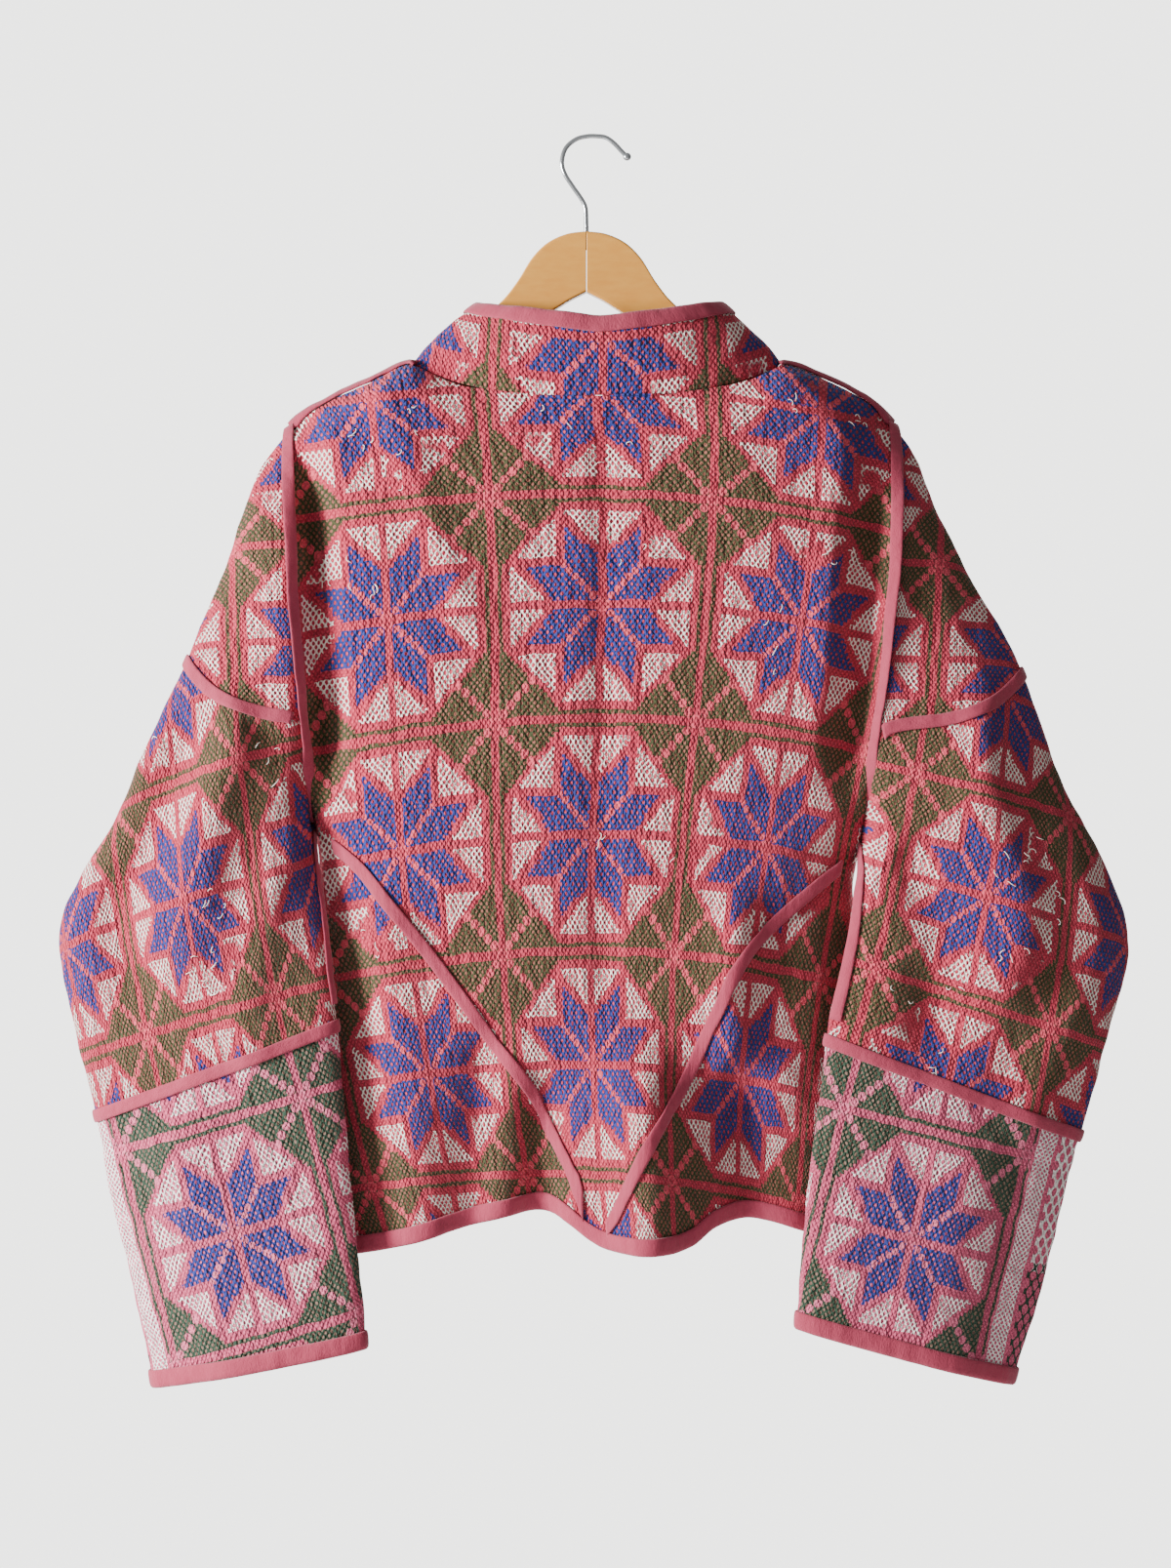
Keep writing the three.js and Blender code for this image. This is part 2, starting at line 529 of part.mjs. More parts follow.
// The places across a binding over the seam of two edges
function acrossSeam(one, other) {
  return one.map(({ own, next }, i) => {
    const twin = other[i];
    const middle = {
      point: own.point.clone().add(twin.own.point).multiplyScalar(0.5),
      base: own.base.clone().add(twin.own.base).multiplyScalar(0.5),
      normal: own.normal.clone().add(twin.own.normal).normalize(),
    };
    const half = SEAM_TAPE_WIDTH / 2;
    return [toward(own, next, half), middle, toward(twin.own, twin.next, half)];
  });
}

// A folded binding that wraps an edge: a leg outside, the fold past the edge, a leg inside
function edgeTape(samples, startCut, endCut, closed = false) {
  const run = samples.map(({ own, next }) => [own, toward(own, next, EDGE_TAPE_WIDTH)]);
  const places = closed ? run : trimmed(run, startCut, endCut);
  const sections = places.map(([edge, inner]) => {
    const past = edge.point.clone().sub(inner.point).normalize();
    const at = (place, side, out, beyond) => place[side].clone()
      .addScaledVector(place.normal, out).addScaledVector(past, beyond);
    const near = TAPE_LIFT;
    const far = TAPE_LIFT + TAPE;
    return [
      at(inner, 'point', far, 0), at(edge, 'point', far, far), at(edge, 'base', -CLOTH - far, far),
      at(inner, 'base', -CLOTH - far, 0), at(inner, 'base', -CLOTH - near, 0),
      at(edge, 'base', -CLOTH - near, near), at(edge, 'point', near, near), at(inner, 'point', near, 0),
    ];
  });
  return sweepGeometry(sections, closed);
}

// The body's pieces
const bodyTiles = (p) => [p.x / QUILT_TILE - PATTERN.backShift, p.z / QUILT_TILE];
const V_HEIGHTS = COLUMNS.map((m, c) => {
  if (c === 0) return LEFT.rings[0].iz;
  if (c === COLUMNS.length - 1) return RIGHT.rings[0].iz;
  return lineZ(m, V_SEAM);
});

function backCentreGrid() {
  const tops = COLUMNS.map((m) => topZ(-1, m));
  const pointAt = (r, c) => bodyPoint(-1, COLUMNS[c], mix(tops[c], V_HEIGHTS[c], ARM_SHARES[r]));
  const tileAt = (r, c) => bodyTiles(pointAt(r, c));
  return makeGrid(ARM_STEPS, COLUMNS.length - 1, false, 1, pointAt, tileAt);
}

// The rows below the V or the underarm, the last but one just above the hem's binding
function lowerZ(top, hem, r) {
  const above = Math.min(EDGE_ROW, (top - hem) / 2);
  return r === LOWER_STEPS ? hem : mix(top, hem + above, r / (LOWER_STEPS - 1));
}

// The piece below one arm of the V, with a blunt tip where the V meets the hem
function backSideGrid(left) {
  const columns = COLUMNS.map((_, c) => c).filter((c) => (left ? c <= CENTRE : c >= CENTRE));
  const apex = bodyPoint(-1, COLUMNS[CENTRE], V_HEIGHTS[CENTRE]);
  const pointAt = (r, k) => {
    const c = columns[k];
    if (c === CENTRE) return pointAt(r, left ? k - 1 : k + 1).lerp(apex, APEX_BLUNT);
    return bodyPoint(-1, COLUMNS[c], lowerZ(V_HEIGHTS[c], lineZ(COLUMNS[c], BACK_HEM), r));
  };
  const tileAt = (r, k) => bodyTiles(pointAt(r, k));
  return makeGrid(LOWER_STEPS, columns.length - 1, false, 1, pointAt, tileAt);
}

// One front, plain, from the shoulder and neckline to the hem and from the side to the centre
const FRONT_TURN = Math.PI / 2 - Math.asin(FRONT_HALF_GAP / NECK.halfWidth);
const FRONT_EDGE_TURN = Math.PI / 2 - Math.asin((FRONT_HALF_GAP + EDGE_ROW) / NECK.halfWidth);
const frontNeckTurns = Array.from({ length: FRONT_NECK_STEPS }, (_, i) => (
  (FRONT_EDGE_TURN * i) / (FRONT_NECK_STEPS - 1)
));
frontNeckTurns.push(FRONT_TURN);
function frontShares(side) {
  const left = side.sign < 0;
  const shoulder = left ? COLUMNS.slice(0, SHOULDER_STEPS) : COLUMNS.slice(-SHOULDER_STEPS).reverse();
  const neck = frontNeckTurns.map((turn) => shareOf(NECK.x + side.sign * NECK.halfWidth * Math.cos(turn)));
  const shares = [...shoulder, ...neck];
  return left ? shares : shares.reverse();
}
function frontGrid(side) {
  const shares = frontShares(side);
  const rows = ARM_STEPS + LOWER_STEPS;
  const pointAt = (r, c) => {
    const m = shares[c];
    const middle = mix(LEFT.rings[0].iz, RIGHT.rings[0].iz, m);
    const z = r <= ARM_STEPS
      ? mix(topZ(1, m), middle, ARM_SHARES[r])
      : lowerZ(middle, lineZ(m, FRONT_HEM), r - ARM_STEPS);
    return bodyPoint(1, m, z);
  };
  return makeGrid(rows, shares.length - 1, false, -1, pointAt, null);
}

// The stand collar: from the left front edge round the back to the right front edge
const collarTurns = [
  ...frontNeckTurns.slice(1).reverse().map((turn) => -Math.PI / 2 - turn),
  ...Array.from({ length: 2 * NECK_STEPS + 1 }, (_, i) => (Math.PI / 2) * (i / NECK_STEPS - 1)),
  ...frontNeckTurns.slice(1).map((turn) => Math.PI / 2 + turn),
];
function collarPoint(turn, share) {
  const s = Math.sin(turn);
  const c = Math.cos(turn);
  const spread = Math.abs(s);
  const baseX = NECK.x + NECK.halfWidth * s;
  const base = c >= 0
    ? { y: -NECK.backY * c, z: NECK.backZ + (NECK.sideZ - NECK.backZ) * spread ** 3 }
    : { y: -NECK.frontY * c, z: NECK.frontZ + (NECK.sideZ - NECK.frontZ) * spread ** 2.2 };
  const top = c >= 0
    ? { y: -COLLAR.backY * c, z: COLLAR.backZ + (COLLAR.sideZ - COLLAR.backZ) * spread ** 1.3 }
    : { y: -COLLAR.frontY * c, z: COLLAR.frontZ + (COLLAR.sideZ - COLLAR.frontZ) * spread ** 1.5 };
  const out = COLLAR.bulge * Math.sin(Math.PI * share);
  return new THREE.Vector3(
    mix(baseX, COLLAR.x + COLLAR.halfWidth * s, share) + out * s,
    mix(base.y, top.y, share) - out * c,
    mix(base.z, top.z, share),
  );
}
function collarGrid() {
  const pointAt = (r, c) => collarPoint(collarTurns[c], 1 - r / ROWS.collar);
  return makeGrid(ROWS.collar, collarTurns.length - 1, false, 1, pointAt, null);
}

// The sleeve's pieces
const sleeveTiles = (row, turn) => [
  row / PATTERN.sleeveRows, (turn / Math.PI) * PATTERN.sleeveRound + PATTERN.sleeveShift,
];
function upperSleeveGrid(side) {
  const pointAt = (r, c) => {
    const step = c - CROSS_STEP;
    return sleevePoint(side, (crossRow(side, step) * r) / ROWS.upperSleeve, turnOf(step));
  };
  const tileAt = (r, c) => sleeveTiles(r / ROWS.upperSleeve, turnOf(c - CROSS_STEP));
  return makeGrid(ROWS.upperSleeve, 2 * CROSS_STEP, false, -side.sign, pointAt, tileAt);
}
function tubeGrid(side, rows, rowAt) {
  const pointAt = (r, c) => {
    const step = c - ARM_STEPS;
    return sleevePoint(side, rowAt(r, step), turnOf(step));
  };
  const tileAt = (r, c) => sleeveTiles(rowAt(r, c - ARM_STEPS), turnOf(c - ARM_STEPS));
  return makeGrid(rows, 2 * ARM_STEPS, true, -side.sign, pointAt, tileAt);
}
const lowerSleeveGrid = (side) => tubeGrid(side, ROWS.lowerSleeve, (r, step) => (
  mix(crossRow(side, step), CUFF_SEAM, r / ROWS.lowerSleeve)
));
const cuffGrid = (side) => tubeGrid(side, ROWS.cuff, (r) => (
  r === ROWS.cuff ? CUFF_END : mix(CUFF_SEAM, CUFF_END - CUFF_EDGE_ROW, r / (ROWS.cuff - 1))
));

// The hanger's arm, cut to lie just under the shoulder's cloth
function hangerArmGeometry(side) {
  const { sign } = side;
  const shoulder = side.rings[0].ox;
  const tipX = shoulder - sign * ARM_TIP.fromShoulder;
  const underShoulder = SHOULDER_SHARES.map((share) => {
    const x = mix(NECK.x + sign * NECK.halfWidth, tipX, share);
    return { x, z: valueAt(SHOULDERS, 'x', x, 'z') - HANGER.underCloth - HANGER.fall * share * share };
  });
  const tipZ = valueAt(SHOULDERS, 'x', tipX, 'z') - ARM_TIP.drop;
  const fromJoint = ({ out, z }) => ({ x: HANGER.jointX + sign * (out + HANGER.jointGap + HANGER.edge), z });
  const outline = [
    ...ARM_TOP.map(fromJoint), ...underShoulder,
    { x: tipX, z: tipZ }, { x: tipX + sign * ARM_TIP.out, z: tipZ - ARM_TIP.height / 2 },
    { x: tipX - sign * ARM_TIP.in, z: tipZ - ARM_TIP.height }, ...ARM_UNDER.map(fromJoint),
  ];
  const shape = new THREE.Shape(outline.map(({ x, z }) => new THREE.Vector2(x, z)));
  const geometry = new THREE.ExtrudeGeometry(shape, {
    depth: HANGER.thickness - 2 * HANGER.edge, steps: 1, bevelEnabled: true, bevelSegments: 1,
    bevelThickness: HANGER.edge, bevelSize: HANGER.edge, bevelOffset: 0,
  });
  geometry.translate(0, 0, -HANGER.thickness / 2 + HANGER.edge);
  geometry.rotateX(Math.PI / 2);
  return geometry;
}

// Booleans on closed meshes
const wasm = await Module();
wasm.setup();
function toSolid(geometry) {
  const bare = new THREE.BufferGeometry();
  bare.setAttribute('position', geometry.getAttribute('position').clone());
  if (geometry.getIndex()) bare.setIndex(geometry.getIndex().clone());
  const position = bare.getAttribute('position');
  const corners = bare.getIndex() ? Array.from(bare.getIndex().array) : [...Array(position.count).keys()];
  const known = new Map();
  const vertices = [];
  const merged = corners.map((corner) => {
    const point = [position.getX(corner), position.getY(corner), position.getZ(corner)];
    const key = point.map((v) => v.toFixed(3)).join(' ');
    if (!known.has(key)) {
      known.set(key, known.size);
      vertices.push(...point);
    }
    return known.get(key);
  });
  const faces = [];
  for (let k = 0; k < merged.length; k += 3) {
    const [a, b, c] = merged.slice(k, k + 3);
    if (a !== b && b !== c && c !== a) faces.push(a, b, c);
  }
  return new wasm.Manifold(new wasm.Mesh({
    numProp: 3, vertProperties: new Float32Array(vertices), triVerts: new Uint32Array(faces),
  }));
}
function fromSolid(solid) {
  const mesh = solid.getMesh();
  const geometry = new THREE.BufferGeometry();
  geometry.setAttribute('position', new THREE.BufferAttribute(mesh.vertProperties, 3));
  geometry.setIndex(new THREE.BufferAttribute(mesh.triVerts, 1));
  return geometry;
}

// The hook: bent wire with a ball at its end, set in a bore between the two arms
function hookGeometry() {
  const path = new THREE.CatmullRomCurve3(HOOK_PATH.map(({ x, z }) => new THREE.Vector3(x, 0, z)));
  const section = new THREE.Shape();
  section.absarc(0, 0, HOOK.wire, 0, 2 * Math.PI, false);
  const wire = new THREE.ExtrudeGeometry(section, {
    steps: HOOK.steps, curveSegments: HOOK.sides / 2, extrudePath: path, bevelEnabled: false,
  });
  const ball = new THREE.SphereGeometry(HOOK.ball, HOOK.sides, HOOK.sides - 2);
  const end = HOOK_PATH[HOOK_PATH.length - 1];
  ball.translate(end.x, 0, end.z);
  return fromSolid(toSolid(wire).add(toSolid(ball)));
}
function boreGeometry() {
  const radius = HOOK.wire + HOOK_SOCKET.gap;
  const bore = new THREE.CylinderGeometry(radius, radius, HOOK_SOCKET.depth, HOOK.sides);
  bore.rotateX(Math.PI / 2);
  bore.translate(HOOK_PATH[0].x, 0, HOOK_SOCKET.top - HOOK_SOCKET.depth / 2);
  return bore;
}

// All the grids, sewn to each other and drawn back at their seams
const back = backCentreGrid();
const backSides = [backSideGrid(true), backSideGrid(false)];
const fronts = SIDES.map(frontGrid);
const collar = collarGrid();
const uppers = SIDES.map(upperSleeveGrid);
const lowers = SIDES.map(lowerSleeveGrid);
const cuffs = SIDES.map(cuffGrid);

const last = COLUMNS.length - 1;
const seams = [];
const backTop = edgeOf(back, 'top');
const backBottom = edgeOf(back, 'bottom');
const sideTops = [edgeOf(backSides[0], 'top'), edgeOf(backSides[1], 'top')];
const vSeams = [
  [backBottom.slice(0, CENTRE), sideTops[0].slice(0, CENTRE)],
  [backBottom.slice(CENTRE + 1).reverse(), sideTops[1].slice(1).reverse()],
];
seams.push(...vSeams);
const shoulderSeams = SIDES.map((side, s) => {
  const frontTop = edgeOf(fronts[s], 'top');
  return side.sign < 0
    ? [backTop.slice(0, SHOULDER_STEPS + 1), frontTop.slice(0, SHOULDER_STEPS + 1)]
    : [backTop.slice(last - SHOULDER_STEPS).reverse(), frontTop.slice(-SHOULDER_STEPS - 1).reverse()];
});
seams.push(...shoulderSeams);
const collarBase = edgeOf(collar, 'bottom');
seams.push([collarBase.slice(FRONT_NECK_STEPS, -FRONT_NECK_STEPS), backTop.slice(SHOULDER_STEPS, -SHOULDER_STEPS)]);
seams.push([collarBase.slice(0, FRONT_NECK_STEPS + 1).reverse(), edgeOf(fronts[0], 'top').slice(SHOULDER_STEPS)]);
seams.push([
  collarBase.slice(-FRONT_NECK_STEPS - 1), edgeOf(fronts[1], 'top').slice(0, FRONT_NECK_STEPS + 1).reverse(),
]);
const sideSeams = SIDES.map((side, s) => {
  const edge = side.sign < 0 ? 'first' : 'last';
  return [edgeOf(backSides[s], edge), edgeOf(fronts[s], edge).slice(ARM_STEPS)];
});
seams.push(...sideSeams);

// Each armhole in samples from the underarm on the back over the shoulder to the front
const armholeSeams = SIDES.map((side, s) => {
  const edge = side.sign < 0 ? 'first' : 'last';
  const backArm = edgeOf(back, edge);
  const frontArm = edgeOf(fronts[s], edge).slice(0, ARM_STEPS + 1);
  const body = [...backArm.slice(1).reverse(), backArm[0], ...frontArm.slice(1)];
  const ring = edgeOf(lowers[s], 'top');
  const upper = edgeOf(uppers[s], 'top');
  const sleeve = body.map((_, k) => {
    const step = ARM_STEPS - k;
    return Math.abs(step) <= CROSS_STEP ? upper[step + CROSS_STEP] : ring[(step + ARM_STEPS) % (2 * ARM_STEPS)];
  });
  return [body, sleeve];
});
seams.push(...armholeSeams);
const armholeTapes = armholeSeams.map(([body, sleeve], s) => {
  const ring = edgeOf(lowers[s], 'top');
  const places = sleeve.map((sample, k) => {
    const step = ARM_STEPS - k;
    return Math.abs(step) === CROSS_STEP ? ring[step + ARM_STEPS] : sample;
  });
  return [body, places];
});
const crossSeams = SIDES.map((_, s) => {
  const ring = edgeOf(lowers[s], 'top');
  const upper = edgeOf(uppers[s], 'bottom');
  return [upper, upper.map((sample, c) => ring[c - CROSS_STEP + ARM_STEPS])];
});
seams.push(...crossSeams);
const cuffSeams = SIDES.map((_, s) => [edgeOf(lowers[s], 'bottom'), edgeOf(cuffs[s], 'top')]);
seams.push(...cuffSeams);

for (let pass = 0; pass < 3; pass += 1) for (const [one, other] of seams) sew(one, other);
for (const panel of [...backSides, ...uppers]) {
  for (const edge of ['top', 'bottom', 'first', 'last']) drawBack(edgeOf(panel, edge));
}
const nearUnderarm = (i) => Math.abs(i - ARM_STEPS) < 2;
for (const panel of [back, ...fronts]) {
  for (const edge of ['top', 'bottom']) drawBack(edgeOf(panel, edge));
}
for (const edge of ['first', 'last']) drawBack(edgeOf(back, edge), nearUnderarm);
drawBack(edgeOf(fronts[0], 'first'), nearUnderarm, FRONT_ARM_GAP);
drawBack(edgeOf(fronts[1], 'last'), nearUnderarm, FRONT_ARM_GAP);
drawBack(edgeOf(fronts[0], 'last'));
drawBack(edgeOf(fronts[1], 'first'));
for (const panel of lowers) {
  drawBack(edgeOf(panel, 'top'), (c) => c < 2 || c > 2 * ARM_STEPS - 2);
  drawBack(edgeOf(panel, 'bottom'));
}
for (const panel of [collar, ...cuffs]) {
  for (const edge of ['top', 'bottom']) drawBack(edgeOf(panel, edge));
}

// The scene graph
const group = new THREE.Group();
function add(name, geometry, colour, roughness = 0.9, metalness = 0) {
  const material = new THREE.MeshStandardMaterial({ color: colour, roughness, metalness });
  const mesh = new THREE.Mesh(geometry, material);
  mesh.name = name;
  group.add(mesh);
}

add('hook', hookGeometry(), COLOURS.hook, 0.25, 1);
for (const side of SIDES) {
  const arm = toSolid(hangerArmGeometry(side)).subtract(toSolid(boreGeometry()));
  add(`hanger_arm_${side.name}`, fromSolid(arm), COLOURS.hanger, 0.5);
}
add('back_centre', wallGeometry(back), COLOURS.back_centre);
add('collar', wallGeometry(collar), COLOURS.collar);
SIDES.forEach((side, s) => {
  add(`back_side_${side.name}`, wallGeometry(backSides[s]), COLOURS.back_side);
  add(`front_${side.name}`, wallGeometry(fronts[s]), COLOURS.front);
  add(`sleeve_upper_${side.name}`, wallGeometry(uppers[s]), COLOURS.sleeve);
  add(`sleeve_lower_${side.name}`, wallGeometry(lowers[s]), COLOURS.sleeve);
  add(`cuff_${side.name}`, wallGeometry(cuffs[s]), COLOURS.cuff);
});

// The binding of a cross seam, run on past its last full samples almost to the armhole's
function crossTapeRun(s) {
  const run = acrossSeam(...crossSeams[s]);
  const towardArmhole = (places, beyond) => {
    const step = beyond[1].point.clone().sub(places[1].point);
    const on = step.multiplyScalar(CROSS_TAPE_REACH);
    return places.map(({ point, base, normal }) => ({
      point: point.clone().add(on), base: base.clone().add(on), normal,
    }));
  };
  const inner = run.slice(1, -1);
  return [
    towardArmhole(inner[0], run[0]), ...inner, towardArmhole(inner[inner.length - 1], run[run.length - 1]),
  ];
}

// The bindings over the seams
const HALF_TAPE = SEAM_TAPE_WIDTH / 2 + TAPE_CLEAR;
const HEM_CUT = EDGE_TAPE_WIDTH + TAPE_CLEAR;
const tape = (name, geometry) => add(`binding_${name}`, geometry, COLOURS.binding, 0.8);
SIDES.forEach((side, s) => {
  const shoulder = acrossSeam(...shoulderSeams[s]).slice(1);
  const armhole = trimmed(acrossSeam(...armholeTapes[s]), TAPE_CUTS.armhole, TAPE_CUTS.armhole);
  const v = acrossSeam(...vSeams[s]);
  tape(`shoulder_${side.name}`, seamTape(trimmed(shoulder, TAPE_CUTS.shoulderAtNeck, TAPE_CUTS.shoulderAtArm)));
  tape(`armhole_${side.name}`, seamTape(armhole, false, ARMHOLE_TAPE_LIFT));
  tape(`v_${side.name}`, seamTape(trimmed(v, TAPE_CUTS.v, TAPE_CUTS.v)));
  tape(`cross_${side.name}`, seamTape(crossTapeRun(s)));
  tape(`cuff_seam_${side.name}`, seamTape(acrossSeam(...cuffSeams[s]), true));
  const steps = lowers[s].grid.map((line) => {
    const at = (side.seamStep + ARM_STEPS) % (2 * ARM_STEPS);
    const inner = line[(at + 1) % line.length];
    const outer = line[(at - 1 + line.length) % line.length];
    const half = SEAM_TAPE_WIDTH / 2;
    return [toward(line[at], outer, half), line[at], toward(line[at], inner, half)];
  });
  tape(`sleeve_seam_${side.name}`, seamTape(trimmed(steps, TAPE_CUTS.sleeveAtUnderarm, HALF_TAPE)));
  tape(`cuff_end_${side.name}`, edgeTape(edgeOf(cuffs[s], 'bottom'), 0, 0, true));
});

// The bindings round the edges
const hemRun = [
  ...edgeOf(fronts[0], 'bottom').slice(1).reverse(), ...edgeOf(backSides[0], 'bottom').slice(0, CENTRE),
  backBottom[CENTRE], ...edgeOf(backSides[1], 'bottom').slice(1),
  ...edgeOf(fronts[1], 'bottom').slice(0, -1).reverse(),
];
tape('hem', edgeTape(hemRun, 0, 0));
tape('collar', edgeTape(edgeOf(collar, 'top'), 0, 0));
SIDES.forEach((side, s) => {
  const edge = side.sign < 0 ? 'last' : 'first';
  tape(`front_${side.name}`, edgeTape(edgeOf(fronts[s], edge), TAPE_CLEAR, HEM_CUT));
});

export default group;
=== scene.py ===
# A quilted kantha jacket on a wooden hanger. Shapes are worked out in millimetres, in the
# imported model's frame, and turned to metres as each mesh is made.
import math
import random

import bmesh
import bpy
import numpy as np
from mathutils import Matrix, Vector, noise


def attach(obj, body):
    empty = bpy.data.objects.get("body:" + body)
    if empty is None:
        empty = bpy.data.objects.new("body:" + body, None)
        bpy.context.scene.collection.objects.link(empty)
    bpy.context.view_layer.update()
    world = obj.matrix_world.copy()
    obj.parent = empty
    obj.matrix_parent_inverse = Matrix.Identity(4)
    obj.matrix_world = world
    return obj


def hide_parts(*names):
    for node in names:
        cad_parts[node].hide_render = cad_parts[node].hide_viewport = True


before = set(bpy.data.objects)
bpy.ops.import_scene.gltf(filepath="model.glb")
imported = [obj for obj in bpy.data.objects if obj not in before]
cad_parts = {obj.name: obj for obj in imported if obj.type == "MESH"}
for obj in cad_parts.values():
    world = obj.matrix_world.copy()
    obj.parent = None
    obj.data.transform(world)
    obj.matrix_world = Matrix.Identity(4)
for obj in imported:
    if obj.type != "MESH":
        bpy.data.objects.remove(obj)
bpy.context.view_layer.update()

MM = 0.001
CLOTH = 2.0  # thickness of the quilted cotton
SEAM_TAPE_LIFT = 0.65  # how far the bindings stand over the cloth
ARMHOLE_TAPE_LIFT = dict(top=0.7, side=2.4)
SEAM_TAPE_WIDTH = 9.0
EDGE_TAPE_WIDTH = 11.0
TAPE_CUT = 22.0  # width of the bias strip before it is folded
TILE = 150.0  # one repeat of the stitched pattern
PATTERN_MIDDLE = 480  # how far below the hook the pattern's own heights start
FOLD_DEPTH = 2.0  # the cloth's own folds, over the plainer ones of its solid
ARMHOLE_STEP = 17.0  # how far the sleeve's edge stands out over its solid's
# The back's valley beside each armhole: its depth, how far inside the seam it lies, its half
# width on either side, and the heights between which it runs
ARMHOLE_DIP = dict(depth=25.0, at=15.0, outer=9.0, inner=22.0, top=-215.0, low=-490.0)
NECK = dict(x=2, half=133, side_z=-163, back_z=-189, front_z=-214, back_y=44, front_y=30)
COLLAR = dict(x=4, half=88, side_z=-120, back_z=-133.5, front_z=-165, back_y=40, front_y=28)
FRONT_HALF_GAP = 3.0
BODY_WIDTH = 400
UNDERARM = dict(start=-430, end=-492)  # where the armholes give way to the side folds
ROUND_OVER = dict(neck=60, shoulder=20)  # how far down from its top the cloth turns over
ARM_PART = 0.52  # share of a front's length beside the armhole
UPPER_TURN = math.radians(120)  # how far round a sleeve its upper part reaches
CAMERA = dict(x=-6.3, y=-2650.0, z=-463.0, tall=1124.9)
PICTURE = dict(x=609, y=142, mm=0.7)  # the hook's top in the picture, and a pixel's size
THREAD = dict(radius=0.3, steps=7, sides=5)
HANGER = dict(joint=-5.6, gap=0.15, thick=12, round=1.8, under_seam=6.2, sag=3, short=16,
              tip_drop=9, tip_tall=20, proud=1.5)


# A small table: its column names, then its rows
def table(columns, *rows):
    return {name: np.array([row[i] for row in rows], float)
            for i, name in enumerate(columns.split())}


SHOULDERS = table(
    "x z", (-218, -208), (-209, -200.5), (-195, -192), (-169, -179), (-131, -163),
    (135, -163), (166, -174), (192, -187), (205, -197), (213, -206))
V_SEAM = table(
    "x z", (-201, -496), (-169, -520), (-144, -550), (-116, -584), (-75, -639), (-44, -681),
    (-27, -715), (-13, -746), (1, -785), (35, -721), (62, -674), (86, -625), (97, -600),
    (114, -574), (152, -540), (190, -510))
BACK_HEM = table(
    "x z", (-204, -797), (-166, -793), (-130, -785), (-89, -773), (-55, -765), (-34, -763),
    (-18, -771), (1, -785), (21, -790), (52, -790), (69, -785), (84, -774), (104, -768),
    (125, -770), (152, -778), (198, -790))
FRONT_HEM = table(
    "x z", (-204, -797), (-130, -777), (-55, -757), (-30, -758), (1, -772), (52, -776), (104, -759),
    (152, -770), (198, -790))
LEFT_SIDE = table("z x", (-800, -204), (-700, -200), (-600, -196), (-520, -197), (-496, -201))
RIGHT_SIDE = table("z x", (-800, 198), (-700, 192), (-600, 187), (-535, 186), (-510, 190))
BACK_DEPTH = table(
    "z y", (-800, 50), (-720, 54), (-620, 52), (-500, 48), (-300, 46), (-190, 44), (-160, 36))
FRONT_DEPTH = table("z y", (-800, 28), (-500, 30), (-300, 31), (-215, 31), (-160, 30))

# Folds of the body's sheets: a line from one place to another, how far the fold stands out
# and its half width
BACK_FOLDS = table(
    "x0 z0 x1 z1 out half",
    (-209, -232, -198, -430, -7, 8), (-188, -222, -178, -440, 5, 13),
    (-150, -190, -95, -330, 3, 14), (196, -225, 186, -420, -4, 8), (176, -222, 160, -420, 3, 12),
    (8, -230, 8, -600, -2, 12), (100, -560, 96, -640, 6, 16), (-150, -560, -120, -780, 4, 18),
    (-80, -660, -88, -790, -5, 16), (-38, -700, -40, -790, -9, 18), (34, -690, 38, -800, 13, 28),
    (104, -690, 108, -790, -7, 18))
FRONT_FOLDS = table(
    "x0 z0 x1 z1 out half",
    (-150, -240, -120, -760, 4, 20), (-60, -420, -70, -800, -4, 18),
    (60, -380, 75, -800, 4, 20), (140, -260, 130, -760, -4, 18))

# Rings of each sleeve from the armhole (row 0) past the cuff seam (row 8) to the cuff's end
# (row 10): the outer and inner fold of the flattened tube, and its half depth
LEFT_RINGS = table(
    "row ox oy oz ix iy iz depth",
    (0, -218, 0, -208, -201, 0, -496, 26), (1, -242, -6, -244, -200.5, -6, -498, 27),
    (2, -260, -10, -300, -200, -12, -501, 28), (3, -283, -13, -356, -199, -18, -506, 28),
    (4, -313, -14, -422, -198, -24, -515, 27), (5, -346, -14, -495, -195, -31, -530, 26),
    (6, -381, -16, -565, -191, -38, -557, 25), (7, -371, -18, -631, -187, -45, -592, 23),
    (8, -354, -20, -699, -181, -50, -633, 21), (9, -336, -24, -787, -171, -57, -742, 20),
    (10, -313, -28, -889, -160, -61, -857, 20))
RIGHT_RINGS = table(
    "row ox oy oz ix iy iz depth",
    (0, 213, 0, -206, 190, 0, -510, 26), (1, 231, -6, -234, 189.5, -6, -512, 27),
    (2, 249, -10, -276, 189, -12, -514.5, 28), (3, 274, -13, -325, 188, -18, -519, 28),
    (4, 305, -14, -384, 186.5, -24, -527, 27), (5, 331, -14, -454, 183, -31, -544, 26),
    (6, 378.5, -16, -557, 179, -38, -568, 25), (7, 369, -18, -627, 172, -45, -602, 23),
    (8, 345, -20, -713, 163, -50, -643, 21), (9, 323, -24, -800, 150, -57, -745, 20),
    (10, 297, -28, -887, 142, -61, -843, 20))

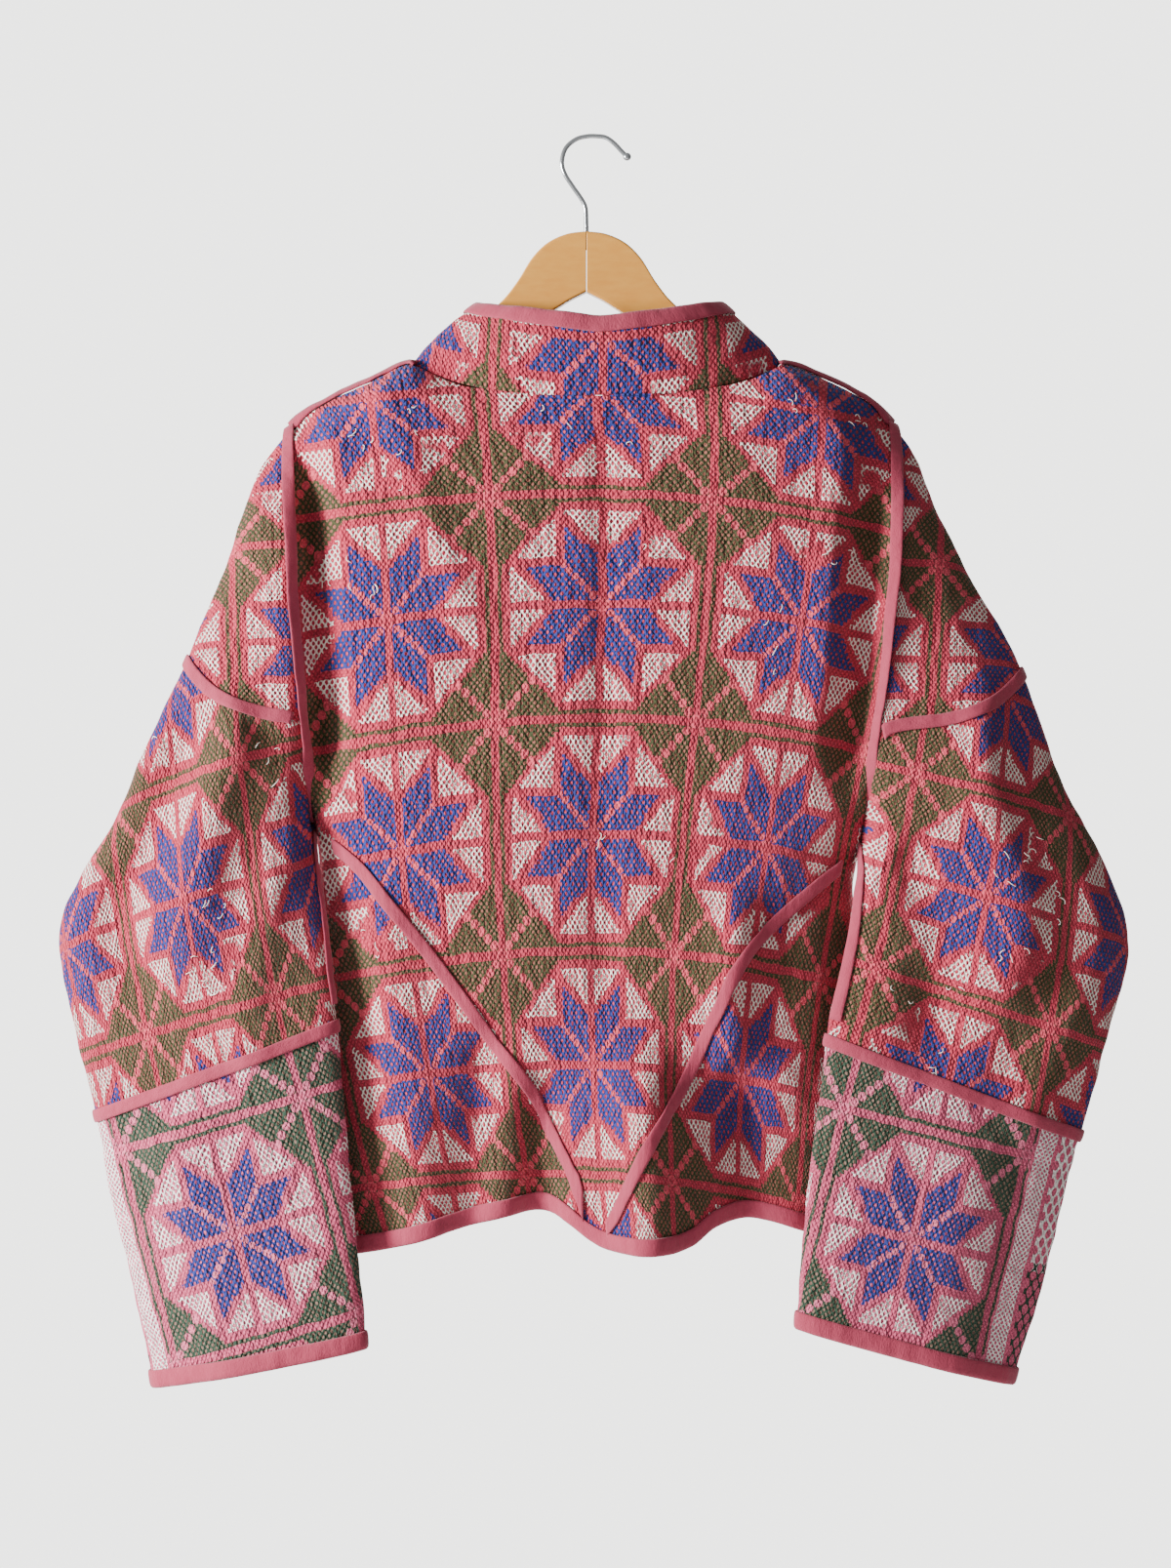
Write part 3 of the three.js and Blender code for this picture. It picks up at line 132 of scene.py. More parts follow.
# Folds of the sleeves, each along a line in ring rows and degrees round from the outer fold
LEFT_SLEEVE_FOLDS = table(
    "row0 row1 turn0 turn1 out half",
    (3.4, 6.2, 82, 92, 6, 16), (4.2, 6.6, 50, 62, -5, 14), (5.4, 7.6, 130, 112, 4, 14),
    (8.6, 9.8, 70, 78, 2.5, 20), (3.2, 7, -100, -80, 5, 18))
RIGHT_SLEEVE_FOLDS = table(
    "row0 row1 turn0 turn1 out half",
    (4.2, 6.6, 66, 84, 6, 16), (5, 7.4, 118, 108, -5, 14), (6, 7.8, 40, 55, 4, 14),
    (8.6, 9.8, 80, 74, 2.5, 20), (3.4, 7, -96, -84, 5, 18))
# The two sides: bow is the armhole's, cross is the row of the cross seam under the shoulder,
# seam is the turn of the sleeve's own seam and dip is the share of the armhole's valley
SIDES = {
    "left": dict(sign=-1, rings=LEFT_RINGS, folds=LEFT_SLEEVE_FOLDS, side=LEFT_SIDE,
                 bow=3, cross=3.3, seam=180, dip=1.0),
    "right": dict(sign=1, rings=RIGHT_RINGS, folds=RIGHT_SLEEVE_FOLDS, side=RIGHT_SIDE,
                  bow=8, cross=4, seam=165, dip=0.6),
}
LEFT, RIGHT = SIDES["left"], SIDES["right"]

# The hanger: the upper and the under curve of an arm, out from its joint, and the wire's path
ARM_TOP = table(
    "out z", (0, -68.5), (14, -70.5), (28, -77), (39, -88), (49, -104), (60, -118), (96, -150),
    (126, -174))
ARM_UNDER = table(
    "out z", (0, -109), (15, -117), (36, -132), (70, -166), (110, -190), (150, -205))
HOOK_WIRE = 1.7
HOOK_PATH = table(
    "x z", (-5.6, -80), (-5.8, -60), (-6.5, -49), (-9.5, -43), (-15.4, -34.5), (-21.3, -25),
    (-23.2, -17), (-20.5, -7), (-13, -0.5), (-5, 1.6), (1.5, 1.7), (8, 0.8), (14, -3.2),
    (19.5, -9), (23.5, -13))

# Worn spots, in the picture's pixels
WORN = table(
    "px py size amount",
    (431, 431, 40, 0.9), (548, 344, 26, 0.6), (362, 450, 34, 1), (412, 481, 40, 1),
    (375, 594, 42, 1), (331, 588, 30, 0.8), (640, 480, 34, 0.7), (650, 548, 38, 1),
    (850, 575, 26, 0.7), (262, 775, 30, 0.8), (150, 760, 40, 0.6), (219, 925, 30, 1),
    (800, 662, 26, 0.7), (612, 862, 24, 0.6), (1062, 862, 38, 0.8), (1040, 900, 40, 0.9),
    (962, 1000, 44, 1), (875, 944, 34, 0.9), (1030, 980, 44, 1), (212, 990, 34, 1),
    (1087, 925, 30, 0.8), (820, 400, 34, 0.9), (880, 430, 26, 0.8), (380, 960, 30, 0.9),
    (215, 1010, 30, 0.8), (560, 420, 24, 0.5), (700, 880, 22, 0.6), (960, 1090, 30, 0.8))


def mix(a, b, t):
    return a + (b - a) * t


def smoothstep(v):
    t = np.clip(v, 0, 1)
    return t * t * (3 - 2 * t)


def unit(vectors):
    return vectors / np.linalg.norm(vectors, axis=-1, keepdims=True)


def dot(a, b):
    return (a * b).sum(axis=-1)[..., None]


# Where points are seen, on the hanger's plane
def seen(points):
    scale = -CAMERA["y"] / (points[:, 1] - CAMERA["y"])
    return mix(CAMERA["x"], points[:, 0], scale), mix(CAMERA["z"], points[:, 2], scale)


# A place of the picture, in pixels, on the hanger's plane
def from_picture(px, py):
    return (px - PICTURE["x"]) * PICTURE["mm"], (PICTURE["y"] - py) * PICTURE["mm"]


def nearest(x, z, at_x, at_z):
    away = np.hypot(x - at_x, z - at_z)
    k = int(np.argmin(away))
    return k, away[k]


# A smooth value of one column at a place in another column that rises down the table
def value_at(rows, key, place, column):
    keys, values = rows[key], rows[column]
    last = len(keys) - 1
    at = np.clip(place, keys[0], keys[last])
    i = np.clip(np.searchsorted(keys, at) - 1, 0, last - 1)
    order = np.arange(last + 1)
    before, after = np.maximum(order - 1, 0), np.minimum(order + 1, last)
    slope = (values[after] - values[before]) / (keys[after] - keys[before])
    span = keys[i + 1] - keys[i]
    t = (at - keys[i]) / span
    return (mix(values[i], values[i + 1], smoothstep(t))
            + span * t * (1 - t) * ((1 - t) * slope[i] - t * slope[i + 1]))


# How far the folds of a sheet stand out at a place
def fold_out(folds, x, z):
    out = 0.0 * x
    for x0, z0, x1, z1, height, half in zip(*folds.values()):
        dx, dz = x1 - x0, z1 - z0
        length = math.hypot(dx, dz)
        along = ((x - x0) * dx + (z - z0) * dz) / length**2
        beyond = np.maximum(0, np.maximum(-along, along - 1)) * length
        across = np.abs((x - x0) * dz - (z - z0) * dx) / length
        out = out + height * np.exp(-((across / half) ** 2) - (beyond / (1.5 * half)) ** 2)
    return out


# The body: sheets between two side lines, which are the armholes and then the side folds
def armhole_turn(side, z):
    top, low = side["rings"]["oz"][0], side["rings"]["iz"][0]
    return np.clip((z - (top + low) / 2) / ((top - low) / 2), -1, 1)


def armhole_bow(side, c):
    return side["sign"] * side["bow"] * (1 - c * c) * (1 + 0.5 * c)


def side_x(side, z):
    c = armhole_turn(side, z)
    rings = side["rings"]
    open_x = mix(rings["ix"][0], rings["ox"][0], (1 + c) / 2) + armhole_bow(side, c)
    return np.where(z < rings["iz"][0], value_at(side["side"], "z", z, "x"), open_x)


def body_x(m, z):
    return mix(side_x(LEFT, z), side_x(RIGHT, z), m)


# The share of the body's width at which a place of the shoulders lies, and the way back
def share_of(x):
    return (x + 218) / 431


def shoulder_x(m):
    return mix(-218, 213, m)


# The neckline's share of its half width, and its height and depth for one sheet
def neckline(face, x):
    s = np.clip(np.abs(x - NECK["x"]) / NECK["half"], 0, 1)
    if face < 0:
        return s, NECK["back_y"] * np.sqrt(1 - s * s), mix(NECK["back_z"], NECK["side_z"], s**3)
    return s, NECK["front_y"] * np.sqrt(1 - s * s), mix(NECK["front_z"], NECK["side_z"], s**2.2)


def top_z(face, m):
    x = shoulder_x(m)
    s, _, z = neckline(face, x)
    return np.where(s < 1, z, value_at(SHOULDERS, "x", x, "z"))


# The height at which a column of the body meets a line such as the V or the hem
def line_z(m, rows):
    z = -650.0 + 0 * m
    for _ in range(8):
        z = value_at(rows, "x", body_x(m, z), "z")
    return z


def body_point(face, m, z):
    x = body_x(m, z)
    xi = np.abs(2 * m - 1)
    # full between the armholes, and rounder across below them
    below = smoothstep((z - UNDERARM["start"]) / (UNDERARM["end"] - UNDERARM["start"]))
    swell = mix(1 - xi**6, np.sqrt(np.maximum(0, 1 - xi**4)), below)
    s, neck_y, _ = neckline(face, shoulder_x(m))
    round_over = mix(ROUND_OVER["neck"], ROUND_OVER["shoulder"], s**2)
    under = np.clip((top_z(face, m) - z) / round_over, 0, 1)
    ridge = np.sqrt(np.maximum(0, 1 - (1 - under) ** 2))
    depth, folds = (BACK_DEPTH, BACK_FOLDS) if face < 0 else (FRONT_DEPTH, FRONT_FOLDS)
    armhole, dip = 0.0, 0.0
    for side, weight in ((LEFT, 1 - m), (RIGHT, m)):
        deep = np.sqrt(1 - armhole_turn(side, z) ** 2)
        step = ARMHOLE_STEP * deep if face < 0 else 0
        armhole = armhole + weight * deep * (side["rings"]["depth"][0] + step)
        inside = (1 - weight) * BODY_WIDTH - ARMHOLE_DIP["at"]
        inside = inside / np.where(inside > 0, ARMHOLE_DIP["inner"], ARMHOLE_DIP["outer"])
        dip = dip + np.exp(-(inside**2)) * side["dip"]
    span = (z - ARMHOLE_DIP["low"]) / (ARMHOLE_DIP["top"] - ARMHOLE_DIP["low"])
    dip = dip * ARMHOLE_DIP["depth"] * (face < 0)
    dip = dip * smoothstep(4 * span) * smoothstep(4 * (1 - span))
    sheet = (value_at(depth, "z", z, "y") + FOLD_DEPTH * fold_out(folds, x, z)) * ridge * swell
    out = armhole * (1 - swell) + neck_y * (1 - ridge) + sheet - dip
    return np.stack([x, face * out, z], -1)


def ring_at(side, row):
    rings = side["rings"]
    return {name: value_at(rings, "row", row, name) for name in rings if name != "row"}


# The sleeves: flattened tubes through the rings; turn is 0 at the outer fold, and positive
# on the side of the jacket's back
def sleeve_point(side, row, turn):
    at = ring_at(side, row)
    outer = np.stack([at["ox"], at["oy"], at["oz"]], -1)
    inner = np.stack([at["ix"], at["iy"], at["iz"]], -1)
    chord = (outer - inner) / 2
    along = unit(chord)
    forward = unit(np.array([0.0, -1.0, 0.0]) + along * along[..., 1:2])
    c, s = np.cos(turn), np.sin(turn)
    out = at["depth"]
    for row0, row1, turn0, turn1, height, half in zip(*side["folds"].values()):
        part = (row - row0) / (row1 - row0)
        beyond = np.maximum(0, np.maximum(-part, part - 1)) * (row1 - row0)
        off = np.degrees(turn) - mix(turn0, turn1, np.clip(part, 0, 1))
        out = out + FOLD_DEPTH * height * np.exp(-((off / half) ** 2) - (beyond / 0.5) ** 2)
    out = out + ARMHOLE_STEP * np.clip(s, 0, 1) * np.exp(-((row / 1.8) ** 2))
    point = (outer + inner) / 2 + chord * c[..., None] + forward * (s * out)[..., None]
    point[..., 0] += armhole_bow(side, c) * np.clip(1 - row / 1.5, 0, 1)
    return point


# The row where the cross seam runs, and beyond it the row where the lower sleeve starts
def cross_row(side, turn):
    step = np.abs(turn) / math.radians(15)
    curve = np.maximum(0.09, side["cross"] * (1 - np.minimum(step / 8, 1) ** 4.6))
    return np.where(step <= 8, curve, np.interp(step, [8, 9, 10, 11, 12], [0.09, 0, 0.3, 0.6, 0.8]))


# The panels: each maps a place (u across, v down, both 0 to 1) to a point of its outer face
def spread(v):
    return (1 - np.cos(np.pi * v)) / 2


CENTRE_SHARE = share_of(NECK["x"])


def back_centre(u, v):
    return body_point(-1, u, mix(top_z(-1, u), line_z(u, V_SEAM), spread(v)))


def back_side(left):
    def shape(u, v):
        m = mix(0, CENTRE_SHARE, u) if left else mix(CENTRE_SHARE, 1, u)
        return body_point(-1, m, mix(line_z(m, V_SEAM), line_z(m, BACK_HEM), v))
    return shape


def front(left):
    edge = share_of(NECK["x"] + (-1 if left else 1) * FRONT_HALF_GAP)

    def shape(u, v):
        m = mix(0, edge, u) if left else mix(edge, 1, u)
        middle = mix(-496, -510, m)
        upper = mix(top_z(1, m), middle, spread(np.minimum(v / ARM_PART, 1)))
        lower = mix(middle, line_z(m, FRONT_HEM), np.clip((v - ARM_PART) / (1 - ARM_PART), 0, 1))
        return body_point(1, m, np.where(v < ARM_PART, upper, lower))
    return shape


COLLAR_REACH = math.pi - math.asin(FRONT_HALF_GAP / NECK["half"])


def collar(u, v):
    turn = mix(-COLLAR_REACH, COLLAR_REACH, u)
    s, c, share = np.sin(turn), np.cos(turn), 1 - v
    spread_out = np.abs(s)
    back = c >= 0
    base_z = np.where(back, mix(NECK["back_z"], NECK["side_z"], spread_out**3),
                      mix(NECK["front_z"], NECK["side_z"], spread_out**2.2))
    top = np.where(back, mix(COLLAR["back_z"], COLLAR["side_z"], spread_out**1.3),
                   mix(COLLAR["front_z"], COLLAR["side_z"], spread_out**1.5))
    base_y = -c * np.where(back, NECK["back_y"], NECK["front_y"])
    top_y = -c * np.where(back, COLLAR["back_y"], COLLAR["front_y"])
    out = 4 * np.sin(np.pi * share)
    x = mix(NECK["x"] + NECK["half"] * s, COLLAR["x"] + COLLAR["half"] * s, share) + out * s
    return np.stack([x, mix(base_y, top_y, share) - out * c, mix(base_z, top, share)], -1)


# The row and the turn of a place on each part of a sleeve
def sleeve_place(part, side, u, v):
    if part == "sleeve_upper":
        turn = mix(-UPPER_TURN, UPPER_TURN, u)
        return cross_row(side, turn) * v, turn
    turn = mix(-math.pi, math.pi, u)
    return (mix(cross_row(side, turn), 8, v) if part == "sleeve_lower" else mix(8, 10, v)), turn


def sleeve_part(part, side):
    return lambda u, v: sleeve_point(side, *sleeve_place(part, side, u, v))


# A place of a sleeve with its ring rolled out straight, away from the middle of its back
def rolled_out(part, side, u, v):
    row, turn = sleeve_place(part, side, u, v)
    at = ring_at(side, row)
    chord = np.stack([at["ox"] - at["ix"], at["oz"] - at["iz"]], -1) / 2
    middle = np.stack([at["ox"] + at["ix"], at["oz"] + at["iz"]], -1) / 2
    half = np.linalg.norm(chord, axis=-1)
    steps = np.linspace(0, 1, 25)
    turns = mix(turn[..., None], math.pi / 2, steps)
    speed = np.hypot(half[..., None] * np.sin(turns), at["depth"][..., None] * np.cos(turns))
    length = (speed[..., 1:] + speed[..., :-1]).sum(-1) / 48 * (math.pi / 2 - turn)
    flat = middle + chord / half[..., None] * length[..., None]
    return flat[..., 0], flat[..., 1] + PATTERN_MIDDLE


# A panel with its place to turn normals to the outside (facing), and whether it closes round
PANELS = {"back_centre": (back_centre, 1, False), "collar": (collar, 1, False)}
for name, side in SIDES.items():
    PANELS[f"back_side_{name}"] = (back_side(name == "left"), 1, False)
    PANELS[f"front_{name}"] = (front(name == "left"), -1, False)
    for part in ("sleeve_upper", "sleeve_lower", "cuff"):
        PANELS[f"{part}_{name}"] = (sleeve_part(part, side), -side["sign"], part != "sleeve_upper")


# Small rumples of hand-stitched cloth, the same for every piece that lies at a place
def rumple(points):
    out = np.empty(len(points))
    for i, p in enumerate(points):
        a = Vector((p[0] / 34, p[1] / 34, p[2] / 52))
        b = Vector((p[0] / 11, p[1] / 11 + 7, p[2] / 13))
        out[i] = 2.0 * noise.noise(a) + 0.8 * noise.noise(b)
    return out


def normals_at(panel, u, v):
    shape, facing, closed = panel
    e = 0.004
    high, low = (u + e, u - e) if closed else (np.minimum(u + e, 1), np.maximum(u - e, 0))
    across = shape(high, v) - shape(low, v)
    down = shape(u, np.minimum(v + e, 1)) - shape(u, np.maximum(v - e, 0))
    normal = np.cross(down, across) * facing
    return normal / np.maximum(np.linalg.norm(normal, axis=-1, keepdims=True), 1e-9)


# Moves the vertices of a bmesh to the given places, in their order
def put(bm, points):
    for vert, point in zip(bm.verts, points):
        vert.co = point


# Points of a panel's outer face, with the rumples, moved out by a lift
def surface(panel, u, v, lift=0.0):
    points, normal = panel[0](u, v), normals_at(panel, u, v)
    return points + normal * (rumple(points) + lift)[:, None], normal


# A mesh object in metres from a bmesh in millimetres
def finish_mesh(bm, name, material):
    mesh = bpy.data.meshes.new(name)
    for face in bm.faces:
        face.smooth = True
    bm.to_mesh(mesh)
    bm.free()
    mesh.transform(Matrix.Scale(MM, 4))
    obj = bpy.data.objects.new(name, mesh)
    obj.data.materials.append(material)
    bpy.context.collection.objects.link(obj)
    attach(obj, "root")
    return obj


# A flat grid with the given squares whose corners run from 0 to 1
def unit_grid(across, down):
    bm = bmesh.new()
    bmesh.ops.create_grid(bm, x_segments=across, y_segments=down, size=0.5)
    bm.verts.ensure_lookup_table()
    places = np.array([(v.co.x + 0.5, 0.5 - v.co.y) for v in bm.verts])
    return bm, places[:, 0], places[:, 1]


# Writes the pattern's coordinates into a UV map, one value for each vertex
def write_uv(bm, name, values):
    layer = bm.loops.layers.uv.new(name)
    for face in bm.faces:
        for loop in face.loops:
            loop[layer].uv = values[loop.vert.index]


# Distances along the cloth at each place: round it from the middle of the back, and down it
def cloth_distances(panel, u, v):
    steps = 60
    lines = np.linspace(0, 1, steps + 1)
    points = np.stack([panel[0](lines, np.full(steps + 1, row)) for row in lines])
    across, down = (np.cumsum(np.linalg.norm(np.diff(points, axis=axis), axis=2), axis=axis)
                    for axis in (1, 0))
    across, down = np.pad(across, ((0, 0), (1, 0))), np.pad(down, ((1, 0), (0, 0)))
    across = across - across[:, steps // 2, None]
    i, j = (np.clip((at * steps).astype(int), 0, steps - 1) for at in (v, u))
    past_i, past_j = v * steps - i, u * steps - j
    return [mix(mix(lengths[i, j], lengths[i, j + 1], past_j),
                mix(lengths[i + 1, j], lengths[i + 1, j + 1], past_j), past_i)
            for lengths in (across, down)]


# How worn the cloth is at each place: it is worn most at a few spots of the back and sleeves
def wear_at(points):
    x, z = seen(points)
    spots = []
    for px, py, size, amount in zip(*WORN.values()):
        at_x, at_z = from_picture(px, py)
        away = np.hypot(x - at_x, z - at_z) / (size * PICTURE["mm"])
        spots.append(amount * np.exp(-(away**2)))
    on_back = points[:, 1] < -12
    return np.max(spots, axis=0) * on_back


# One panel of cloth: its grid, the pattern's coordinates and the cloth's thickness
def make_panel(node, squares, tiles, material, u_range, v_range):
    panel = PANELS[node]
    bm, u, v = unit_grid(*squares)
    u, v = mix(*u_range, u), mix(*v_range, v)
    points, normal = surface(panel, u, v)
    put(bm, points)
    write_uv(bm, "tile", tiles(points, u, v))
    wear = wear_at(points)
    write_uv(bm, "wear", np.stack([wear, wear], -1))
    if panel[2]:
        bmesh.ops.remove_doubles(bm, verts=bm.verts, dist=0.02)
        bmesh.ops.recalc_face_normals(bm, faces=bm.faces)
    elif np.dot(area_normal(bm), normal.mean(axis=0)) < 0:
        bmesh.ops.reverse_faces(bm, faces=bm.faces)
    obj = finish_mesh(bm, "quilted_" + node.replace("_centre", ""), material)
    inward_wall = obj.modifiers.new("thickness", "SOLIDIFY")
    inward_wall.thickness = CLOTH * MM
    inward_wall.offset = -1
    inward_wall.use_even_offset = False
    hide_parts(node)
    return obj


def area_normal(bm):
    total = Vector((0, 0, 0))
    for face in bm.faces:
        face.normal_update()
        total += face.normal * face.calc_area()
    return np.array(total)


# The closed section of a binding over a seam: across it in half widths, and out from the cloth
SEAM_SECTION = table(
    "across out", (-1, 0.3), (-1.02, 0.8), (-0.92, 1.25), (-0.72, 1.5), (-0.4, 1.62), (0, 1.66),
    (0.4, 1.62), (0.72, 1.5), (0.92, 1.25), (1.02, 0.8), (1, 0.3), (0.6, 0.05), (0, 0),
    (-0.6, 0.05))
# The closed section of a binding round an edge: in from the edge, and out from the cloth
EDGE_SECTION = table(
    "inside out", (11, 0.9), (10.7, 1.6), (9.5, 2.0), (7, 2.2), (4, 2.2), (1.5, 2.1), (-0.6, 1.7),
    (-1.9, 0.6), (-2.2, -1), (-1.9, -2.6), (-0.6, -3.7), (1.5, -4.1), (5, -4.15), (9.5, -4.0),
    (11, -3.3), (8, -2.7), (4, -2.65), (0.6, -2.6), (-0.6, -1.9), (-0.6, -0.1), (0.6, 0.6),
    (4, 0.65), (8, 0.65))


# The place at a distance inside a panel's edge, measured square to it, and the normal there
def inward(panel, u, v, du, dv, distance):
    shape = panel[0]
    here = shape(u, v)
    e = 0.003
    ahead = shape(np.clip(u + e * abs(dv), 0, 1), np.clip(v + e * abs(du), 0, 1))
    run = unit(ahead - shape(np.clip(u - e * abs(dv), 0, 1), np.clip(v - e * abs(du), 0, 1)))
    share = np.where(distance > 0, 0.01, 0.0)
    for _ in range(8):
        step = shape(u + du * share, v + dv * share) - here
        gap = np.linalg.norm(step - run * dot(step, run), axis=1)
        share = np.minimum(share * np.sqrt(distance / np.maximum(gap, 1e-6)), 0.3)
    return surface(panel, u + du * share, v + dv * share)


# A flat binding over the seam of two panels: the place of each point of its section. A rib
# makes its middle thicker.
def seam_strip(one, other, widths=(SEAM_TAPE_WIDTH, SEAM_TAPE_WIDTH), rib=0.0):
    def place(s, k):
        across, out = SEAM_SECTION["across"][k], SEAM_SECTION["out"][k]
        out = out * (1 + rib * np.clip(1 - across**2, 0, 1))
        points = np.empty((len(s), 3))
        edges = [edge(s) for edge in (one, other)]
        middles = [inward(*edge, 0 * s)[1] for edge in edges]
        middle = unit(middles[0] + middles[1])
        for (panel, u, v, du, dv), width, mask in zip(edges, widths, (across < 0, across >= 0)):
            far = np.abs(across[mask])
            at, normal = inward(panel, u[mask], v[mask], du, dv, far * width / 2)
            normal = mix(middle[mask], normal, np.clip(far, 0, 1)[:, None])
            points[mask] = at + normal * (SEAM_TAPE_LIFT + out[mask])[:, None]
        return points
    return place, SEAM_SECTION


# A binding folded round an edge: down its outer face, round past it and up the inner one
def edge_strip(edge):
    def place(s, k):
        inside, out = EDGE_SECTION["inside"][k], EDGE_SECTION["out"][k]
        panel, u, v, du, dv = edge(s)
        edge_points, normal = inward(panel, u, v, du, dv, 0 * s)
        inner_points, inner_normal = inward(panel, u, v, du, dv, 0 * s + EDGE_TAPE_WIDTH)
        direction = unit(inner_points - edge_points)
        blend = mix(normal, inner_normal, np.clip(inside / EDGE_TAPE_WIDTH, 0, 1)[:, None])
        return edge_points + direction * inside[:, None] + blend * out[:, None]
    return place, EDGE_SECTION


# A binding's closed tube: its section carried along the run, with its ends filled
def binding(name, node, count, strip, closed=False):
    place, section = strip
    corners = len(section["out"])
    bm, s, w = unit_grid(count, corners)
    put(bm, place(s, np.rint(w * corners).astype(int) % corners))
    middle = place(np.linspace(0, 1, 200), np.full(200, corners // 3))
    length = np.linalg.norm(np.diff(middle, axis=0), axis=1).sum()
    write_uv(bm, "strip", [(a * length, b * TAPE_CUT) for a, b in zip(s, w)])
    return finish_tube(bm, name, BINDING, node, closed)


# The tube of a bmesh grid: its seam closed, the ends filled unless it is a closed ring, and
# its faces turned outward
def finish_tube(bm, name, material, node, closed=False):
    bmesh.ops.remove_doubles(bm, verts=bm.verts, dist=0.01)
    if not closed:
        ends = [edge for edge in bm.edges if edge.is_boundary]
        bmesh.ops.holes_fill(bm, edges=ends, sides=0)
    bmesh.ops.recalc_face_normals(bm, faces=bm.faces)
    obj = finish_mesh(bm, name, material)
    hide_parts(node)
    return obj


# Linear colour from an sRGB hex value
def colour(value):
    parts = [((value >> shift) & 255) / 255 for shift in (16, 8, 0)]
    return (*(c / 12.92 if c <= 0.04045 else ((c + 0.055) / 1.055) ** 2.4 for c in parts), 1.0)


# Adds one node: its settings or only its operation, then its inputs by order or by name, each
# a value, node or socket
def add(tree, kind, settings=None, *inputs, **named):
    made = tree.nodes.new("ShaderNode" + kind)
    if isinstance(settings, str):
        settings = {"operation": settings}
    for key, value in (settings or {}).items():
        setattr(made, key, value)
    for key, value in [*enumerate(inputs), *named.items()]:
        socket = made.inputs[key.replace("_", " ") if isinstance(key, str) else key]
        if isinstance(value, bpy.types.Node):
            value = value.outputs[0]
        if isinstance(value, bpy.types.NodeSocket):
            tree.links.new(value, socket)
        elif value is not None:
            socket.default_value = value
    return made


ON_UV = {"noise_dimensions": "2D"}
SOFT = {"interpolation_type": "SMOOTHSTEP"}


def new_material(name):
    material = bpy.data.materials.new(name)
    material.use_nodes = True
    tree = material.node_tree
    for old in [n for n in tree.nodes if n.type != "OUTPUT_MATERIAL"]:
        tree.nodes.remove(old)
    return material, tree


# The shader of a material, with its steady values on its own sockets
def end_material(tree, base, roughness, normal=None, **steady):
    shader = add(tree, "BsdfPrincipled", None, Base_Color=base, Roughness=roughness,
                 Normal=normal, **steady)
    tree.links.new(shader.outputs[0], tree.nodes["Material Output"].inputs["Surface"])


# 1 where every limit holds: each is (share of a, share of b, most that their sum may be)
def region(tree, a, b, limits):
    least = None
    for of_a, of_b, most in limits:
        room = add(tree, "Math", "MULTIPLY_ADD", a, -of_a, most)
        room = add(tree, "Math", "MULTIPLY_ADD", b, -of_b, room)
        least = room if least is None else add(tree, "Math", "MINIMUM", least, room)
    return add(tree, "Math", "GREATER_THAN", least, 0.0)


# The threads of a stitched net: 0 along its lines, 1 in the middle of its diamonds
def net(tree, x, y, cell):
    over = add(tree, "Math", "MULTIPLY", x, math.pi / cell[0])
    waves = []
    for slant in (1, -1):
        wave = add(tree, "Math", "MULTIPLY_ADD", y, slant * math.pi / cell[1], over)
        waves.append(add(tree, "Math", "SINE", wave))
    return add(tree, "Math", "ABSOLUTE", add(tree, "Math", "MULTIPLY", *waves))


# Round dots along the diagonal of the chart
def diagonal_dots(tree, a, b, step, start, end, size):
    along = add(tree, "Math", "ADD", a, b)
    along = add(tree, "Math", "MULTIPLY", along, 0.5 / step)
    place = add(tree, "Math", "FRACT", along)
    place = add(tree, "Math", "SUBTRACT", place, 0.5)
    across = add(tree, "Math", "SUBTRACT", a, b)
    across = add(tree, "Math", "MULTIPLY", across, 0.5 / step)
    place = add(tree, "Math", "MULTIPLY", place, place)
    away = add(tree, "Math", "MULTIPLY_ADD", across, across, place)
    inside = add(tree, "Math", "LESS_THAN", away, size * size)
    part = region(tree, a, b, [(-0.5, -0.5, -start), (0.5, 0.5, end)])
    return add(tree, "Math", "MULTIPLY", inside, part)


# The chart of one repeat, in half repeats from its middle: a is the larger distance, b the
# smaller. It is the traditional eight-petal star in an octagon.
PETALS = [(0, 1, 0.36), (1, -0.85, 0.41), (0, -1, -0.028)]
SIDE_WEDGES = [(1, 0, 0.865), (-1, 1, -0.49), (0, -1, -0.028)]
CORNER_WEDGES = [(0, -1, -0.42), (1, 1, 1.2), (1, 0, 0.865)]
SPANDRELS = [(-1, -1, -1.3), (1, 0, 0.905)]
EDGE_ROWS = [(-1, 0, -0.905), (1, 0, 0.965)]
SQUARES = 26.0  # of the chart, in half a repeat
# Diamonds of the stitch nets in mm. Real stitches lie about 3 mm apart: these are drawn as
# coarse as they need to show.
NETS = {"white": (4.2, 5.4), "blue": (4.8, 6.2), "green": (4.6, 5.2), "ground": (3.6, 4.4),
        "border": (4.2, 4.2), "lattice": (9.0, 12.0)}
INDIGO = (0x141E6C, 0x2A3688)
BORDER_PINK = 0xD85C7C


